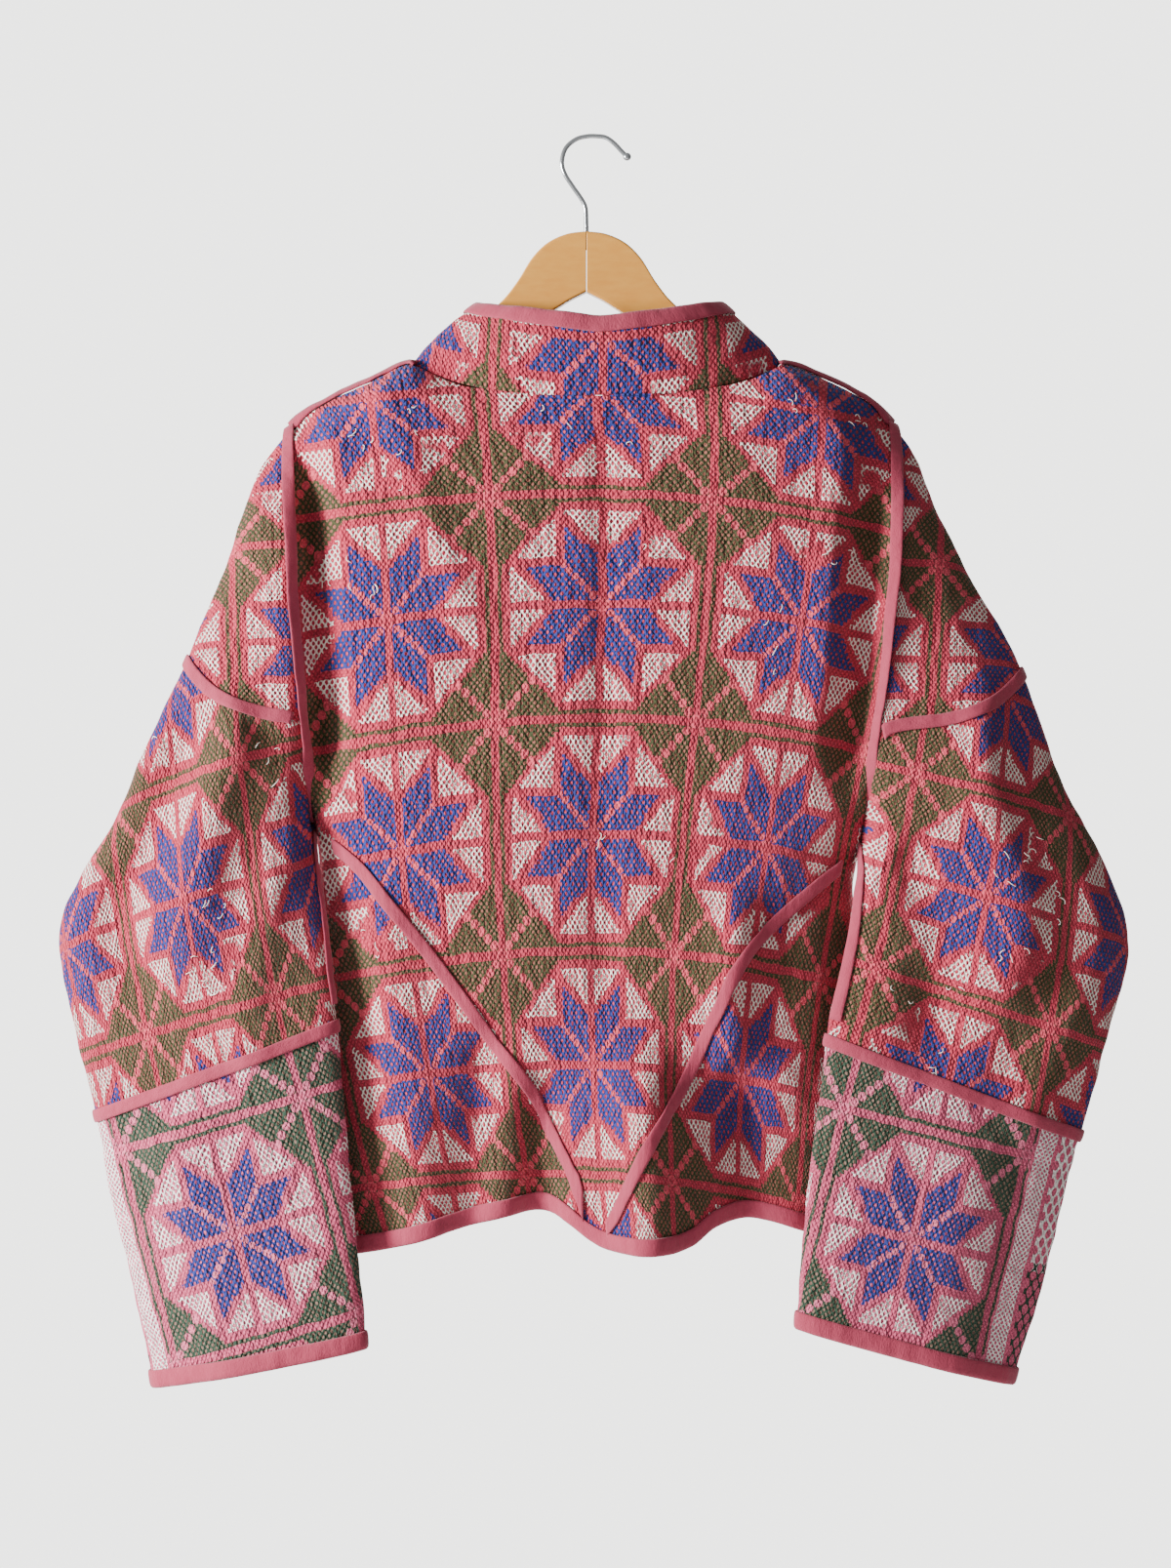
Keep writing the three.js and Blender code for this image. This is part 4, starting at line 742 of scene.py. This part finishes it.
# The border along the outer side of a cuff: a column of white net, then an open white net
# over its upper half and a green lattice over its lower half
def cuff_border(tree, parts, stitch, white, green, base, height):
    out = add(tree, "Math", "MULTIPLY", parts.outputs[0], -1.0)
    up = parts.outputs[1]
    close_net = net(tree, *stitch, NETS["border"])
    open_net = net(tree, *stitch, NETS["lattice"])
    band = region(tree, out, up, [(-1, 0, -0.535), (1, 0, 1.25)])
    base = add(tree, "MixRGB", None, band, base, colour(BORDER_PINK))
    for limits, weave, most, tones in (
            ([(-1, 0, -0.55), (1, 0, 0.655)], close_net, 0.45, white),
            ([(-1, 0, -0.68), (1, 0, 1.2), (0, -1, 0.02)], open_net, 0.36, white),
            ([(-1, 0, -0.68), (1, 0, 1.2), (0, 1, 0.02)], open_net, 0.24, green)):
        here = region(tree, out, up, limits)
        thread = add(tree, "Math", "LESS_THAN", weave, most)
        shown = add(tree, "Math", "MULTIPLY", here, thread)
        base = add(tree, "MixRGB", None, shown, base, colour(tones[0]))
        height = add(tree, "Math", "MULTIPLY_ADD", shown, 0.6, height)
    return base, height


# Kantha: layers of soft cotton held by close rows of running stitch in thick thread. To the
# eye it is matt and softly fuzzy, with a net of raised threads over a pink ground.
def kantha_cloth(name, ground, green, white, gaps, wear, border=False):
    material, tree = new_material(name)
    uv = add(tree, "UVMap", {"uv_map": "tile"})
    # lines that wander as a hand does
    wander = add(tree, "TexNoise", ON_UV, Vector=uv, Scale=9.0, Detail=2.0)
    shift = add(tree, "VectorMath", "SUBTRACT", wander.outputs["Color"], (0.5, 0.5, 0.5))
    shift = add(tree, "VectorMath", "SCALE", shift, Scale=0.022)
    place = add(tree, "VectorMath", "ADD", uv, shift)
    # the place in mm, and the chart's square that it lies in
    parts = add(tree, "SeparateXYZ", None, place)
    half, snapped, stitch = [], [], []
    for axis in (0, 1):
        stitch.append(add(tree, "Math", "MULTIPLY", parts.outputs[axis], TILE))
        near = add(tree, "Math", "ROUND", parts.outputs[axis])
        off = add(tree, "Math", "SUBTRACT", parts.outputs[axis], near)
        off = add(tree, "Math", "ABSOLUTE", off)
        half.append(add(tree, "Math", "MULTIPLY", off, 2.0))
        cell = add(tree, "Math", "MULTIPLY", half[axis], SQUARES)
        cell = add(tree, "Math", "FLOOR", cell)
        snapped.append(add(tree, "Math", "MULTIPLY_ADD", cell, 1 / SQUARES, 0.5 / SQUARES))
    a = add(tree, "Math", "MAXIMUM", *snapped)
    b = add(tree, "Math", "MINIMUM", *snapped)
    fine_a = add(tree, "Math", "MAXIMUM", *half)
    fine_b = add(tree, "Math", "MINIMUM", *half)

    white_net, blue_net, green_net, ground_net = (
        net(tree, *stitch, NETS[thread]) for thread in ("white", "blue", "green", "ground"))
    # thread that has worn away, first the white and then the blue
    patches = add(tree, "TexNoise", ON_UV, Vector=uv, Scale=1.7, Detail=5.0, Roughness=0.6)
    spots = add(tree, "SeparateXYZ", None, add(tree, "UVMap", {"uv_map": "wear"}))
    fray = add(tree, "TexNoise", ON_UV, Vector=uv, Scale=13.0, Detail=3.0, Roughness=0.6)
    fray = add(tree, "Math", "MULTIPLY", fray, spots.outputs[0])
    patches = add(tree, "Math", "MULTIPLY_ADD", fray, 0.42, patches)
    worn = add(tree, "MapRange", SOFT, patches, From_Min=0.66 - wear, From_Max=0.70 - wear)
    kept = add(tree, "Math", "SUBTRACT", 1.0, worn)
    kept_blue = add(tree, "MapRange", SOFT, patches, From_Min=0.84, From_Max=0.80)

    fade = add(tree, "TexNoise", ON_UV, Vector=uv, Scale=14.0, Detail=3.0)
    base = add(tree, "MixRGB", None, fade, colour(ground[0]), colour(ground[1]))
    base = add(tree, "MixRGB", None, ground_net, colour(ground[2]), base)
    height = add(tree, "Math", "MULTIPLY_ADD", ground_net, 0.5, fade)
    zones = (
        (SPANDRELS, green_net, 0.52, green, None), (EDGE_ROWS, green_net, 0.5, green, None),
        (SIDE_WEDGES, white_net, 0.42, white, kept), (CORNER_WEDGES, white_net, 0.42, white, kept),
        (PETALS, blue_net, 0.66, INDIGO, kept_blue))
    for limits, weave, most, tones, mask in zones:
        here = region(tree, a, b, limits)
        thread = add(tree, "MapRange", SOFT, weave,
                     From_Min=most + 0.08, From_Max=most - 0.08)
        if limits in (SPANDRELS, EDGE_ROWS):
            base = add(tree, "MixRGB", None, here, base, colour(gaps))
        shown = add(tree, "Math", "MULTIPLY", here, thread)
        if mask:
            shown = add(tree, "Math", "MULTIPLY", shown, mask)
        tone = add(tree, "MixRGB", None, fade, colour(tones[0]), colour(tones[1]))
        base = add(tree, "MixRGB", None, shown, base, tone)
        height = add(tree, "Math", "MULTIPLY_ADD", shown, 0.6, height)
    for step, start, end in ((0.055, 0.03, 0.36), (0.068, 0.62, 0.98)):
        dots = diagonal_dots(tree, fine_a, fine_b, step, start, end, 0.44)
        base = add(tree, "MixRGB", None, dots, base, colour(ground[1]))
        height = add(tree, "Math", "MULTIPLY_ADD", dots, 0.5, height)

    if border:
        base, height = cuff_border(tree, parts, stitch, white, green, base, height)
    # drawn-up puckers between the rows of stitch
    pulled = add(tree, "Mapping", None, uv, Scale=(3.2, 1.0, 1.0))
    pucker = add(tree, "TexNoise", ON_UV, Vector=pulled, Scale=11.0, Detail=2.0)
    height = add(tree, "Math", "MULTIPLY_ADD", pucker, 2.2, height)
    bump = add(tree, "Bump", None, Height=height, Distance=0.0022, Strength=1.0)
    end_material(tree, base, 0.92, bump, Sheen_Weight=0.04, Sheen_Roughness=0.5)
    return material


# Stitch ends: single soft cotton threads, creamy white and matt
def thread_cotton():
    material, tree = new_material("loose_cotton_thread")
    place = add(tree, "TexCoord")
    tone = add(tree, "TexNoise", None, Vector=place.outputs["Object"], Scale=60.0, Detail=2.0)
    base = add(tree, "MixRGB", None, tone, colour(0xF4E6DA), colour(0xFFF8F0))
    end_material(tree, base, 0.9)
    return material


# Bias binding: plain woven cotton, folded and pressed. To the eye it is matt and even, with
# small puckers where it was sewn. Its colour follows the puckers: partly an uneven tone, and
# partly painted shade that darkens their hollows.
def binding_cotton(name, tones):
    material, tree = new_material(name)
    uv = add(tree, "UVMap", {"uv_map": "strip"})
    weave = add(tree, "TexNoise", ON_UV, Vector=uv, Scale=1.1, Detail=4.0)
    pucker = add(tree, "TexNoise", ON_UV, Vector=uv, Scale=0.16, Detail=3.0)
    # the colour follows the puckers' height: partly an uneven tone, partly painted shade in their
    # hollows
    tone = add(tree, "MixRGB", None, pucker, colour(tones[0]), colour(tones[1]))
    height = add(tree, "Math", "MULTIPLY_ADD", pucker, 2.0, weave)
    bump = add(tree, "Bump", None, Height=height, Distance=0.0006, Strength=0.6)
    end_material(tree, tone, 0.88, bump, Sheen_Weight=0.2)
    return material


# Beech with a clear satin lacquer: pale, warm and fine grained, with a soft gloss
def lacquered_beech():
    material, tree = new_material("lacquered_beech")
    place = add(tree, "TexCoord")
    stretched = add(tree, "Mapping", None, place.outputs["Object"], Scale=(18, 260, 60))
    grain = add(tree, "TexNoise", None, Vector=stretched, Scale=4.0, Detail=6.0, Roughness=0.6)
    tone = add(tree, "MixRGB", None, grain, colour(0xCE8428), colour(0xE2A448))
    bump = add(tree, "Bump", None, Height=grain, Distance=0.0002, Strength=0.25)
    end_material(tree, tone, 0.42, bump, Coat_Weight=0.25, Coat_Roughness=0.25)
    return material


# Steel wire with a bright plated finish: smooth, with sharp small highlights
def plated_wire():
    material, tree = new_material("plated_wire")
    place = add(tree, "TexCoord")
    wear = add(tree, "TexNoise", None, Vector=place.outputs["Object"], Scale=500.0, Detail=3.0)
    rough = add(tree, "MapRange", None, wear, To_Min=0.14, To_Max=0.26)
    end_material(tree, colour(0xC9CCD0), rough, Metallic=1.0)
    return material


BODY_KANTHA = kantha_cloth(
    "kantha_cotton", ground=(0xC23048, 0xD84A5C, 0xA4223A), green=(0x2A3A16, 0x433F1C),
    white=(0xFFF6EC, 0xEEDCD0), gaps=0x8E5242, wear=0.03)
CUFF_KANTHA = kantha_cloth(
    "kantha_cotton_light", ground=(0xCC5070, 0xDA6A86, 0xB03E5C), green=(0x1A3826, 0x24422E),
    white=(0xFFF6F2, 0xF2E2DC), gaps=0x7C5F50, wear=-0.08, border=True)
# the binding's two tones: the darker one lies in the puckers' hollows, partly as painted shade
BINDING = binding_cotton("bias_binding_cotton", (0x972A43, 0xA83850))
WOOD = lacquered_beech()
STEEL = plated_wire()


# The terms of a smooth map of two lengths, and how many powers each has
def powers(s, t, order):
    s, t = s / 200, t / 200
    return np.stack([s**i * t**j for i in range(order + 1) for j in range(order + 1 - i)], -1)


def degrees(order):
    return np.array([i + j for i in range(order + 1) for j in range(order + 1 - i)])


# The map that passes close to the wanted values; a pull keeps its higher terms small
def fit(rows, wanted, order, pull):
    rows, wanted = np.array(rows), np.array(wanted)
    pull = np.diag(np.where(degrees(order) < 2, 1e-5, pull))
    return np.linalg.solve(rows.T @ rows + pull, rows.T @ wanted)


# How the pattern lies on a panel: smooth coordinates that pass close to the places of a few
# stars and crossings, each with its pixel in the picture and its place in the pattern
def pattern_on(node, places, order, seen_u, flat, down=1):
    u, v = (axis.ravel() for axis in np.meshgrid(np.linspace(*seen_u, 90), np.linspace(0, 1, 90)))
    x, z = seen(PANELS[node][0](u, v))
    s, t = flat(u, v)
    rows, wanted = [], []
    for px, py, *star in places:
        at_x, at_z = from_picture(px, py)
        k, away = nearest(x, z, at_x, at_z)
        if away < 90:
            rows.append(powers(s[k] + at_x - x[k], t[k] + (at_z - z[k]) * down, order))
            wanted.append(star)
    fitted = fit(rows, wanted, order, 0.05)
    return lambda points, u, v: powers(*flat(u, v), order) @ fitted


# The back's three pieces were cut from one cloth, so one set of places serves them all
def back_pattern():
    rows = []
    for px, py, *_ in BACK_PLACES:
        x, z = from_picture(px, py)
        rows.append(powers(np.array(x), np.array(z + PATTERN_MIDDLE), 3))
    wanted = [star for _, _, *star in BACK_PLACES]
    fitted = fit(rows, wanted, 3, 0.0003 * degrees(3) ** 2)

    def tiles(points, u, v):
        x, z = seen(points)
        return powers(x, z + PATTERN_MIDDLE, 3) @ fitted
    return tiles


def plain_tiles(points, u, v):
    return np.stack([points[:, 0] / TILE + 0.5, points[:, 2] / TILE], -1)


BACK_PLACES = (
    (378, 408, 0, 0), (618, 400, 1, 0), (844, 422, 2, 0), (397, 632, 0, -1), (608, 616, 1, -1),
    (820, 641, 2, -1), (414, 874, 0, -2), (603, 856, 1, -2), (787, 871, 2, -2), (437, 1105, 0, -3),
    (593, 1098, 1, -3), (751, 1093, 2, -3), (501, 509, 0.5, -0.5), (724, 509, 1.5, -0.5),
    (513, 745, 0.5, -1.5), (717, 738, 1.5, -1.5), (518, 974, 0.5, -2.5), (706, 982, 1.5, -2.5),
    (544, 1193, 0.5, -3.5), (693, 1220, 1.5, -3.5))
COLLAR_PLACES = (
    (618, 337, 0, 0), (505, 337, -0.5, 0), (730, 337, 0.5, 0), (618, 400, 0, -0.28),
    (505, 400, -0.5, -0.28), (730, 400, 0.5, -0.28))
SLEEVE_PLACES = {
    "sleeve_upper_left": (
        (240, 566, 0.5, -0.5), (330, 655, 1, -1), (150, 668, 0, -1), (330, 462, 1, 0),
        (243, 760, 0.5, -1.5)),
    "sleeve_upper_right": (
        (961, 583, 0.5, -0.5), (872, 668, 0, -1), (1045, 682, 1, -1), (880, 478, 0, 0),
        (950, 780, 0.5, -1.5)),
    "sleeve_lower_left": (
        (242, 770, 0.5, -0.5), (112, 835, -0.5, -0.5), (283, 1019, 0.5, -1.5),
        (146, 1061, -0.5, -1.5), (181, 694, 0, 0), (195, 920, 0, -1), (71, 969, -1, -1),
        (325, 880, 1, -1)),
    "sleeve_lower_right": (
        (937, 782, -0.5, -0.5), (1094, 825, 0.5, -0.5), (895, 1004, -0.5, -1.5),
        (1087, 1071, 0.5, -1.5), (1035, 725, 0, 0), (1020, 925, 0, -1), (1150, 960, 1, -1),
        (960, 1110, 0, -2)),
    "cuff_left": (
        (243, 1263, 0, 0), (213, 1152, 0, 0.5), (272, 1374, 0, -0.5), (150, 1290, -0.5, 0),
        (336, 1236, 0.5, 0)),
    "cuff_right": (
        (933, 1269, 0, 0), (960, 1160, 0, 0.5), (906, 1378, 0, -0.5), (840, 1246, 0.5, 0),
        (1027, 1293, -0.5, 0))}

# The cloth pieces: node, squares across and down, pattern, and the part of the panel used
back_tiles = back_pattern()
collar_tiles = pattern_on("collar", COLLAR_PLACES, 1, (0.3, 0.7),
                          lambda u, v: cloth_distances(PANELS["collar"], u, v), down=-1)
for node, squares, tiles, u_range, v_range in (
        ("back_centre", (108, 150), back_tiles, (0.0006, 0.9994), (0.0006, 0.999)),
        ("back_side_left", (56, 76), back_tiles, (0.001, 0.982), (0.002, 0.999)),
        ("back_side_right", (54, 74), back_tiles, (0.018, 0.999), (0.002, 0.999)),
        ("front_left", (54, 150), plain_tiles, (0.002, 0.999), (0.0005, 0.999)),
        ("front_right", (54, 150), plain_tiles, (0.001, 0.998), (0.0005, 0.999)),
        ("collar", (150, 18), collar_tiles, (0.0005, 0.9995), (0.005, 0.995))):
    make_panel(node, squares, tiles, BODY_KANTHA, u_range, v_range)


# The hidden side of a sleeve mirrors the pattern of the side that shows
def sleeve_flat(part, side):
    return lambda u, v: rolled_out(part, side, np.maximum(u, 1 - u), v)


for name, side in SIDES.items():
    for part, squares, order, material, u_range in (
            ("sleeve_upper", (110, 44), 1, BODY_KANTHA, (0.001, 0.999)),
            ("sleeve_lower", (140, 110), 2, BODY_KANTHA, (0, 1)),
            ("cuff", (120, 66), 1, CUFF_KANTHA, (0, 1))):
        node = f"{part}_{name}"
        tiles = pattern_on(node, SLEEVE_PLACES[node], order, (0.5, 1), sleeve_flat(part, side))
        make_panel(node, squares, tiles, material, u_range, (0.001, 0.999))


# Edges of the panels, as places that run 0 to 1 along each
def along(node, fixed_u=None, fixed_v=None, du=0, dv=0, start=0.0, end=1.0):
    def edge(s):
        at = mix(start, end, s)
        u = at if fixed_u is None else fixed_u + 0 * s
        v = at if fixed_v is None else fixed_v + 0 * s
        return PANELS[node], u, v, du, dv
    return edge


# The binding of an armhole: it lies on the edge of the sleeve and on that of the body's back
# or front sheet
def armhole_strip(name):
    side, left = SIDES[name], name == "left"
    inside_u = 0.012 if left else 0.988
    top, low = side["rings"]["oz"][0], side["rings"]["iz"][0]
    reach = math.pi * 0.905

    def place(s, k):
        across, out = SEAM_SECTION["across"][k], SEAM_SECTION["out"][k]
        turn, on_seam = reach * (1 - 2 * s), 0 * s
        z = mix(low, top, (1 + np.cos(turn)) / 2)
        seam = sleeve_point(side, on_seam, turn)
        before, after = (sleeve_point(side, on_seam, turn + step) for step in (-0.01, 0.01))
        run = unit(after - before)
        body = np.where((turn > 0)[:, None], body_point(-1, on_seam + inside_u, z),
                        body_point(1, on_seam + inside_u, z))
        ways = []
        for beside in (body, sleeve_point(side, on_seam + 0.3, turn)):
            way = beside - seam
            ways.append(unit(way - run * dot(way, run)))
        outward = np.stack([on_seam, -np.sin(turn), np.cos(turn)], -1)
        normal = np.cross(run, ways[1] - ways[0])
        normal = unit(normal * np.sign(dot(normal, outward)))
        flat = np.cross(normal, run)
        flat = flat * np.sign(dot(flat, ways[1]))
        points = seam + flat * (across * SEAM_TAPE_WIDTH / 2)[:, None]
        lift = mix(ARMHOLE_TAPE_LIFT["top"], ARMHOLE_TAPE_LIFT["side"], np.sin(turn) ** 2)
        return points + normal * (rumple(points) + lift + out)[:, None]
    return place, SEAM_SECTION


# A binding that goes over a seam, round an edge or down one
def keep(way, what, count, strip, closed=False):
    piece, node = f"binding_{way}_{what.replace('_end', '')}", f"binding_{what}"
    binding(piece, node, count, strip, closed)


# The binding over a seam of the back, from one share of the back's width to another; the other
# panel has its first and last share of that width at its own sides
def over_back_seam(seam_v, node, first, last, start, end, **shape):
    one = along("back_centre", fixed_v=seam_v, dv=1 - 2 * seam_v, start=start, end=end)
    other = along(node, fixed_v=0.0, dv=1, start=(start - first) / (last - first),
                  end=(end - first) / (last - first))
    return seam_strip(one, other, **shape)


for name, side in SIDES.items():
    left, sign = name == "left", side["sign"]
    back_side, front_node, upper, lower, cuff = (f"{part}_{name}" for part in (
        "back_side", "front", "sleeve_upper", "sleeve_lower", "cuff"))
    # over the V seam, from the underarm down to the hem
    first, last = (0, CENTRE_SHARE) if left else (CENTRE_SHARE, 1)
    keep("over", f"v_{name}", 110, over_back_seam(
        1, back_side, first, last, 0.5 + sign * 0.465, CENTRE_SHARE + sign * 0.02))
    # over the shoulder seam, from the neck to the armhole
    neck_share = share_of(NECK["x"] + sign * NECK["half"])
    front_edge = share_of(NECK["x"] + sign * FRONT_HALF_GAP)
    first, last = (0, front_edge) if left else (front_edge, 1)
    keep("over", f"shoulder_{name}", 30, over_back_seam(
        0, front_node, first, last, neck_share - sign * 0.004, 0.5 + sign * 0.498,
        widths=(14, 6), rib=1.3))
    keep("over", f"armhole_{name}", 150, armhole_strip(name))
    # over the cross seam, over the seam of the cuff and round the cuff's end
    reach = UPPER_TURN / math.tau * 0.93
    keep("over", f"cross_{name}", 110, seam_strip(
        along(upper, fixed_v=1.0, dv=-1, start=0.035, end=0.965),
        along(lower, fixed_v=0.0, dv=1, start=0.5 - reach, end=0.5 + reach)))
    keep("over", f"cuff_seam_{name}", 120, seam_strip(
        along(lower, fixed_v=1.0, dv=-1), along(cuff, fixed_v=0.0, dv=1)), closed=True)
    keep("round", f"cuff_end_{name}", 120, edge_strip(
        along(cuff, fixed_v=1.0, dv=-1)), closed=True)
    # down the sleeve's own seam, from the underarm to the cuff
    keep("over", f"sleeve_seam_{name}", 60, seam_strip(*(
        along(lower, fixed_u=0.5 + side["seam"] / 360, du=du, start=0.1, end=0.965)
        for du in (-1, 1))))
    # down the edge of each front
    keep("down", f"front_{name}", 120, edge_strip(
        along(front_node, fixed_u=0.5 - sign / 2, du=sign, start=0.003, end=0.975)))

keep("round", "collar", 160, edge_strip(along("collar", fixed_v=0.0, dv=1)))


# The hem's binding runs along both fronts and the two side pieces of the back
def hem_strip():
    parts = [edge_strip(along(node, fixed_v=1.0, dv=-1, start=start, end=end))[0]
             for node, start, end in (("front_left", 1.0, 0.0), ("back_side_left", 0.0, 0.99),
                                      ("back_side_right", 0.01, 1.0), ("front_right", 1.0, 0.0))]

    def place(s, k):
        points = np.empty((len(s), 3))
        part_of = np.clip((s * len(parts)).astype(int), 0, len(parts) - 1)
        for i, part in enumerate(parts):
            mask = part_of == i
            points[mask] = part(np.clip(s[mask] * len(parts) - i, 0, 1), k[mask])
        return points
    return place, EDGE_SECTION


keep("round", "hem", 240, hem_strip())


# One arm of the hanger: a board with rounded edges between its upper and its under curve,
# which lies under the shoulder seam from the neck to the tip
def hanger_arm(name, side):
    sign, joint, rounding = side["sign"], HANGER["joint"], HANGER["round"]
    tip_x = side["rings"]["ox"][0] - sign * HANGER["short"]
    shares = np.array([0.3, 0.6, 0.85])
    x = mix(NECK["x"] + sign * NECK["half"], tip_x, shares)
    z = value_at(SHOULDERS, "x", x, "z") - HANGER["under_seam"] - HANGER["sag"] * shares**2
    tip_z = float(value_at(SHOULDERS, "x", np.array(tip_x), "z")) - HANGER["tip_drop"]
    reach = abs(tip_x - joint)
    upper = {"out": [*ARM_TOP["out"], *np.abs(x - joint), reach], "z": [*ARM_TOP["z"], *z, tip_z]}
    under = {"out": [*ARM_UNDER["out"], reach], "z": [*ARM_UNDER["z"], tip_z - HANGER["tip_tall"]]}
    upper, under = ({key: np.array(row) for key, row in curve.items()} for curve in (upper, under))
    # the section's corners, each a quarter circle in four steps with a short flat beside it
    corners = [(sy, sz, start + turn, slide)
               for sy, sz, start in ((1, 1, 0), (-1, 1, 90), (-1, -1, 180), (1, -1, 270))
               for turn, slide in ((0, -1.2), (0, 0), (22, 0), (45, 0), (68, 0), (90, 0),
                                   (90, 1.2))]
    bm, s, w = unit_grid(140, len(corners))
    k = np.rint(w * len(corners)).astype(int) % len(corners)
    sy, sz, turn, slide = np.array(corners, float)[k].T
    turn = np.radians(turn)
    out = reach * s**1.2
    top = value_at(upper, "out", out, "z") + HANGER["proud"]
    low = value_at(under, "out", out, "z") - HANGER["proud"]
    y = sy * (HANGER["thick"] / 2 - rounding) + rounding * np.cos(turn) - slide * np.sin(turn)
    z = mix(low, top, 0.5) + sz * ((top - low) / 2 - rounding)
    z = z + rounding * np.sin(turn) + slide * np.cos(turn)
    put(bm, np.stack([joint + sign * (HANGER["gap"] + out), y, z], -1))
    return finish_tube(bm, f"beech_arm_{name}", WOOD, f"hanger_arm_{name}")


# The hook: round wire along its path, with a small ball on its end
def hook():
    steps = np.hypot(np.diff(HOOK_PATH["x"]), np.diff(HOOK_PATH["z"]))
    path = {"at": np.append(0, np.cumsum(steps)), **HOOK_PATH}
    bm, s, w = unit_grid(180, 18)
    behind, centre, ahead = (
        np.stack([value_at(path, "at", s * path["at"][-1] + step, key) for key in ("x", "z")], -1)
        for step in (-0.05, 0, 0.05))
    run = unit(ahead - behind)
    side, y = HOOK_WIRE * np.cos(math.tau * w), HOOK_WIRE * np.sin(math.tau * w)
    put(bm, np.stack([centre[:, 0] - run[:, 1] * side, y, centre[:, 1] + run[:, 0] * side], -1))
    end = Matrix.Translation((HOOK_PATH["x"][-1], 0, HOOK_PATH["z"][-1]))
    bmesh.ops.create_uvsphere(bm, u_segments=24, v_segments=16, radius=3, matrix=end)
    return finish_tube(bm, "hook_wire", STEEL, "hook")


hook()
for name, side in SIDES.items():
    hanger_arm(name, side)


# Loose ends of thread at the worn spots: short curls that lie on the cloth
def loose_threads():
    bm = bmesh.new()
    chance = random.Random(7)
    for node, seen_u in (("back_centre", (0, 1)), ("back_side_left", (0, 1)),
                         ("back_side_right", (0, 1)), ("sleeve_lower_left", (0.55, 0.95)),
                         ("sleeve_lower_right", (0.55, 0.95))):
        panel = PANELS[node]
        u, v = (axis.ravel() for axis in np.meshgrid(
            np.linspace(*seen_u, 80), np.linspace(0.01, 0.99, 80)))
        x, z = seen(panel[0](u, v))
        for px, py, size, amount in zip(*WORN.values()):
            for _ in range(round(5 * amount)):
                off_x, off_y = (chance.gauss(0, size * 0.42) for _ in (0, 1))
                k, away = nearest(x, z, *from_picture(px + off_x, py + off_y))
                if away > 4:
                    continue
                heading, path = chance.uniform(0, math.tau), [np.zeros(2)]
                bend = chance.uniform(-0.5, 0.5)
                for _ in range(THREAD["steps"]):
                    heading += bend + chance.uniform(-0.35, 0.35)
                    step = chance.uniform(0.6, 1.1)
                    path.append(path[-1] + step * np.array([math.cos(heading), math.sin(heading)]))
                add_thread(bm, panel, u[k], v[k], np.array(path))
    finish_mesh(bm, "loose_thread_ends", thread_cotton())


# One thread: a thin closed tube along a path in mm that starts at a place on a panel
def add_thread(bm, panel, u0, v0, path):
    e, last, sides = 0.002, len(path) - 1, THREAD["sides"]
    start, across, down = panel[0](np.array([u0, u0 + e, u0]), np.array([v0, v0, v0 + e]))
    wide, tall = np.linalg.norm(across - start) / e, np.linalg.norm(down - start) / e
    u = np.clip(u0 + path[:, 0] / wide, 0.003, 0.997)
    v = np.clip(v0 + path[:, 1] / tall, 0.003, 0.997)
    points, normal = surface(panel, u, v, 0.5)
    points = points + normal * (0.9 * np.sin(np.linspace(0, math.pi, last + 1)))[:, None]
    run = unit(np.gradient(points, axis=0))
    side = np.cross(run, normal)
    for vert in bmesh.ops.create_grid(bm, x_segments=last, y_segments=sides, size=0.5)["verts"]:
        i = round((vert.co.x + 0.5) * last)
        turn = math.tau * round((vert.co.y + 0.5) * sides) / sides
        around = math.cos(turn) * side[i] + math.sin(turn) * normal[i]
        vert.co = points[i] + THREAD["radius"] * around


loose_threads()

# Camera: straight at the back, from the photograph's distance
data = bpy.data.cameras.new("camera")
data.sensor_fit = "VERTICAL"
data.sensor_height = 36.0
data.lens = -CAMERA["y"] / CAMERA["tall"] * data.sensor_height
camera = bpy.data.objects.new("camera", data)
camera.location = [CAMERA[axis] * MM for axis in "xyz"]
camera.rotation_euler = (math.radians(90), 0, 0)
bpy.context.collection.objects.link(camera)
bpy.context.scene.camera = camera

# The studio's light is strongest behind the jacket, and falls off to the right of the camera
world = bpy.data.worlds.new("pale_studio")
world.use_nodes = True
tree = world.node_tree
way = add(tree, "SeparateXYZ", None, add(tree, "TexCoord").outputs["Generated"])
behind = add(tree, "MapRange", None, way.outputs[1], From_Min=0.6, From_Max=0.9)
sideways = add(tree, "MapRange", None, way.outputs[0], From_Min=-1.0, To_Min=0.75, To_Max=0.2)
strength = add(tree, "Mix", {"data_type": "FLOAT"}, behind, None, sideways, 3.7)
tree.links.new(strength.outputs[0], tree.nodes["Background"].inputs["Strength"])
tree.nodes["Background"].inputs["Color"].default_value = colour(0xF3F3F1)
bpy.context.scene.world = world

# One soft key light from the left, a little in front
light = bpy.data.lights.new("key", "AREA")
light.size, light.energy = 0.7, 190
key = bpy.data.objects.new("key", light)
key.location = (-2.2, -1.0, -0.15)
key.rotation_euler = (Vector((0, 0, -0.45)) - key.location).to_track_quat("-Z", "Y").to_euler()
bpy.context.collection.objects.link(key)

# A plain pale floor
bm = bmesh.new()
bmesh.ops.create_grid(bm, x_segments=2, y_segments=2, size=1400)
bmesh.ops.translate(bm, verts=bm.verts, vec=(0, 0, -1450))
bmesh.ops.scale(bm, verts=bm.verts, vec=(MM, MM, MM))
mesh = bpy.data.meshes.new("floor")
bm.to_mesh(mesh)
bm.free()
floor = bpy.data.objects.new("floor", mesh)
bpy.context.collection.objects.link(floor)
material, tree = new_material("painted_floor")
end_material(tree, colour(0xE9EAE9), 0.9)
mesh.materials.append(material)
